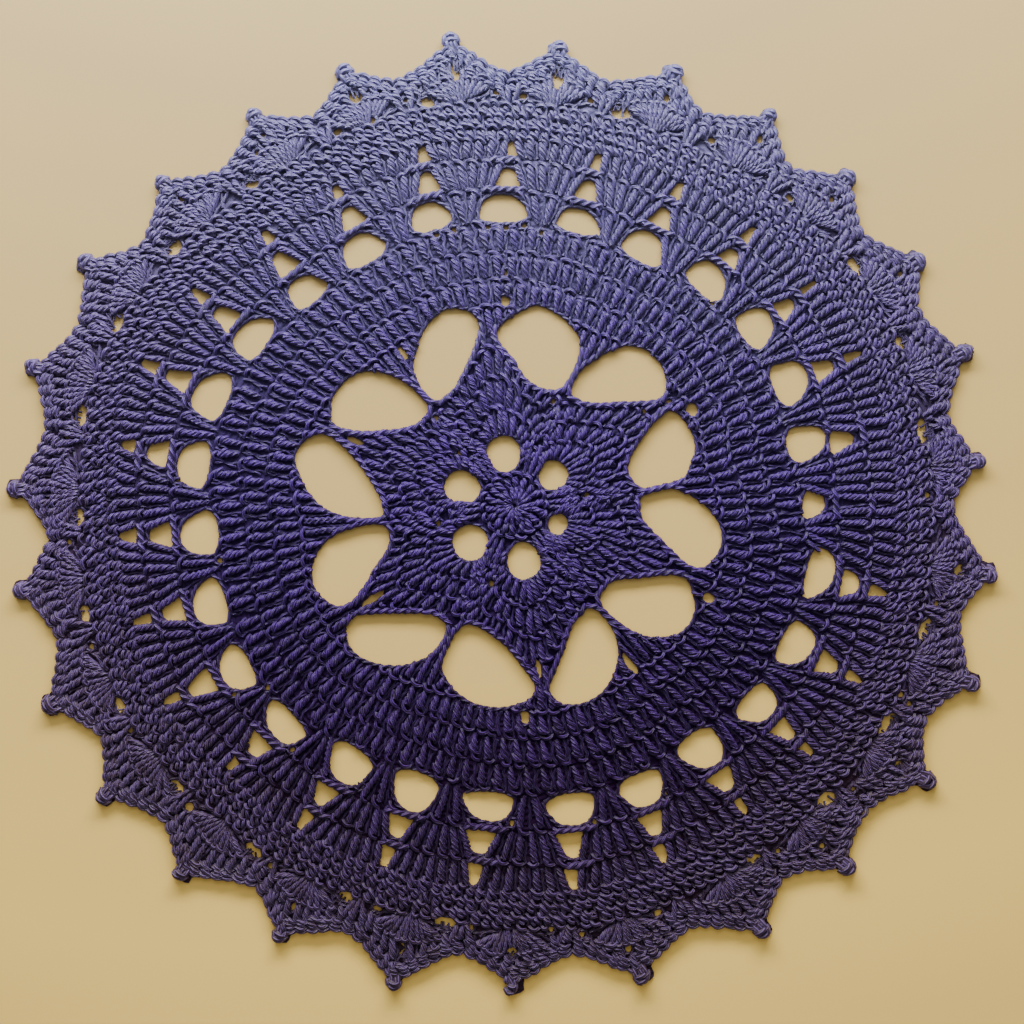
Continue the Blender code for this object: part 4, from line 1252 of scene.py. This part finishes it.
pieces = [
    lay("plain_posts", plain_posts, **POST), lay("plain_loops", plain_loops, 0.9, **LOOP),
    lay("plain_under", plain_under, 0.9, **UNDER),
    lay("wedge_posts", wedge_posts, **POST), lay("wedge_loops", wedge_loops, 0.9, **LOOP),
    lay("wedge_under", wedge_under, 0.9, **UNDER), lay("chains", chains, 0.5, **ROPE),
    lay("low_posts", low_posts, **SHORTEST), lay("low_loops", low_loops, 0.9, **LOOP),
    lay("low_under", low_under, 0.9, **UNDER),
    lay("shell_posts", shell_posts, **SHORT), lay("shell_loops", shell_loops, 0.9, **LOOP),
    lay("shell_under", shell_under, 0.9, **UNDER),
    lay("edge_posts", edge_posts, **SHORTEST), lay("edge_loops", edge_loops, 0.3, **LOOP),
    lay("edge_under", edge_under, 0.9, **UNDER),
    lay("edge_knots", knots, 0.6, **dict(LOOP, yarn_radius=0.00115)),
    lay("star_posts", star_posts, **POST), lay("star_loops", star_loops, 0.9, **LOOP),
    lay("star_under", star_under, 0.9, **UNDER),
    lay("veils", veils, -4.0, **VEIL),
    lay("rims", rims, -0.4, **dict(ROPE, yarn_radius=0.00088)),
    lay("cords", cords, 0.2, **dict(ROPE, yarn_radius=0.00062, depth=0.0005, sides=5, points=3,
                                  unevenness=0.0010)),
]


# %% [markdown]
# ## The sheet under the stitches
#
# The outline and the holes are turned into one flat triangle mesh by a constrained Delaunay
# triangulation, which keeps every given line. Extruding it gives the sheet its thickness.

# %% The sheet
INSET = 0.9                     # how far the sheet stays inside every edge


def flat_sheet(name, bottom, top):
    loops = [moved_out(loop, INSET)[::2] for loop in holes] + [moved_out(edge, -INSET)[::2]]
    points, lines = [], []
    for loop in loops:
        first = len(points)
        points += [Vector(p) for p in loop]
        lines += [(first + i, first + (i + 1) % len(loop)) for i in range(len(loop))]
    flat, _, faces, *_ = delaunay_2d_cdt(points, lines, [], 0, 1e-4)
    plan = np.array([tuple(p) for p in flat])
    centres = np.array([plan[list(face)].mean(axis=0) for face in faces])
    hits = np.zeros(len(centres), dtype=int)
    for loop in loops:
        for (ax, ay), (bx, by) in zip(loop, np.roll(loop, -1, axis=0)):
            if ay != by:
                level = (ay > centres[:, 1]) != (by > centres[:, 1])
                x = (bx - ax) * (centres[:, 1] - ay) / (by - ay) + ax
                hits += level & (centres[:, 0] < x)
    sheet = bmesh.new()
    corners = [sheet.verts.new((x * MM, y * MM, bottom * MM)) for x, y in plan]
    for face, inside in zip(faces, hits % 2 == 1):
        if inside:
            sheet.faces.new([corners[i] for i in face])
    stray = [corner for corner in sheet.verts if not corner.link_faces]
    bmesh.ops.delete(sheet, geom=stray, context="VERTS")
    area = sum(face.calc_area() for face in sheet.faces)
    grown = bmesh.ops.extrude_face_region(sheet, geom=sheet.faces[:])["geom"]
    for item in grown:
        if isinstance(item, bmesh.types.BMVert):
            item.co.z = top * MM
    bmesh.ops.recalc_face_normals(sheet, faces=sheet.faces[:])
    mesh = bpy.data.meshes.new(name)
    sheet.to_mesh(mesh)
    sheet.free()
    mesh.materials.append(shaded_yarn)
    piece = bpy.data.objects.new(name, mesh)
    bpy.context.scene.collection.objects.link(piece)
    return piece, area


under_sheet, cut_area = flat_sheet("under_sheet", 0.05, 0.75)
print("the sheet's flat area is", round(cut_area, 4), "square metres")

# %% [markdown]
# ## What stands for what
#
# The sheet stands for the CAD solid, and the yarn rides with it. Everything belongs to the one
# body, because a doily has no joints.

# %% Tell the frame
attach(under_sheet, "root")
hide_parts("doily")
for piece in pieces:
    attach(piece, "root")

# %% [markdown]
# ## Floor
#
# The floor is plain and pale. The window is near, wide and low, just beyond the top of the view.
# The floor's colour is painted darker towards it, a painted shade that cancels the window's pool
# of light, so the lit floor comes out even.

# %% Floor
WINDOW = (-0.05, 0.46, 0.235)
floor_mesh = bpy.data.meshes.new("floor")
reach = 1.6
floor_mesh.from_pydata([(-reach, -reach, 0.0), (reach, -reach, 0.0), (reach, reach, 0.0),
                        (-reach, reach, 0.0)], [], [(0, 1, 2, 3)])
floor = bpy.data.objects.new("floor", floor_mesh)
bpy.context.scene.collection.objects.link(floor)
pale, tree, surface = fresh_material(
    "pale_floor", {"Roughness": 0.9, "Specular IOR Level": 0.1})
place = Wire(node(tree, "ShaderNodeTexCoord").socket.node.outputs["Object"])
# Painted shade: the floor's colour darkens towards the window to even out its light.
far = node(tree, "ShaderNodeVectorMath", {0: place - WINDOW}, output=1, operation="LENGTH")
far = node(tree, "ShaderNodeMapRange", {0: math_of(far, "POWER", 3.0), 1: 0.056, 2: 0.32},
           clamp=True)
mixed = blend(tree, far, (0.31, 0.225, 0.098, 1.0), (0.91, 0.61, 0.145, 1.0))
tree.links.new(mixed.socket, surface.inputs["Base Color"])
floor_mesh.materials.append(pale)

# %% [markdown]
# ## Light
#
# Besides the window there are a soft light from the sky above it, a weak one from the room, and
# an even glow from all round that keeps the shade between the stitches readable.

# %% Light
def soft_light(name, place, target, size, power, colour):
    lamp = bpy.data.lights.new(name, "AREA")
    lamp.shape = "RECTANGLE"
    lamp.size, lamp.size_y = size
    lamp.energy = power
    lamp.color = colour
    holder = bpy.data.objects.new(name, lamp)
    holder.location = place
    aim = Vector(target) - Vector(place)
    holder.rotation_euler = aim.to_track_quat("-Z", "Y").to_euler()
    bpy.context.scene.collection.objects.link(holder)


soft_light("window", WINDOW, (0.0, 0.0, 0.0), (0.7, 0.14), 11.8, (0.98, 0.98, 1.0))
soft_light("sky", (-0.05, 0.36, 0.55), (-0.02, 0.12, 0.0), (0.6, 0.3), 1.5, (0.97, 0.98, 1.0))
soft_light("room", (0.3, -0.9, 1.4), (0.0, 0.0, 0.0), (1.2, 1.2), 1.0, (1.0, 0.93, 0.88))
world = bpy.data.worlds.new("room_light")
world.use_nodes = True
world.node_tree.nodes["Background"].inputs["Color"].default_value = (1.0, 0.97, 0.93, 1.0)
world.node_tree.nodes["Background"].inputs["Strength"].default_value = 0.34
bpy.context.scene.world = world

# %% [markdown]
# ## Camera
#
# The camera hangs straight above, because the photograph was taken from there. The width of the
# table in view and the camera's height give the lens.

# %% Camera
PHOTO_WIDTH = 0.4096            # metres of table across the photograph
HEIGHT = 0.55
lens = bpy.data.cameras.new("camera")
lens.sensor_width = 36.0
lens.lens = 36.0 * HEIGHT / PHOTO_WIDTH
lens.clip_start = 0.01
camera = bpy.data.objects.new("camera", lens)
camera.location = (-0.0008, -0.0024, HEIGHT)
bpy.context.scene.collection.objects.link(camera)
bpy.context.scene.camera = camera
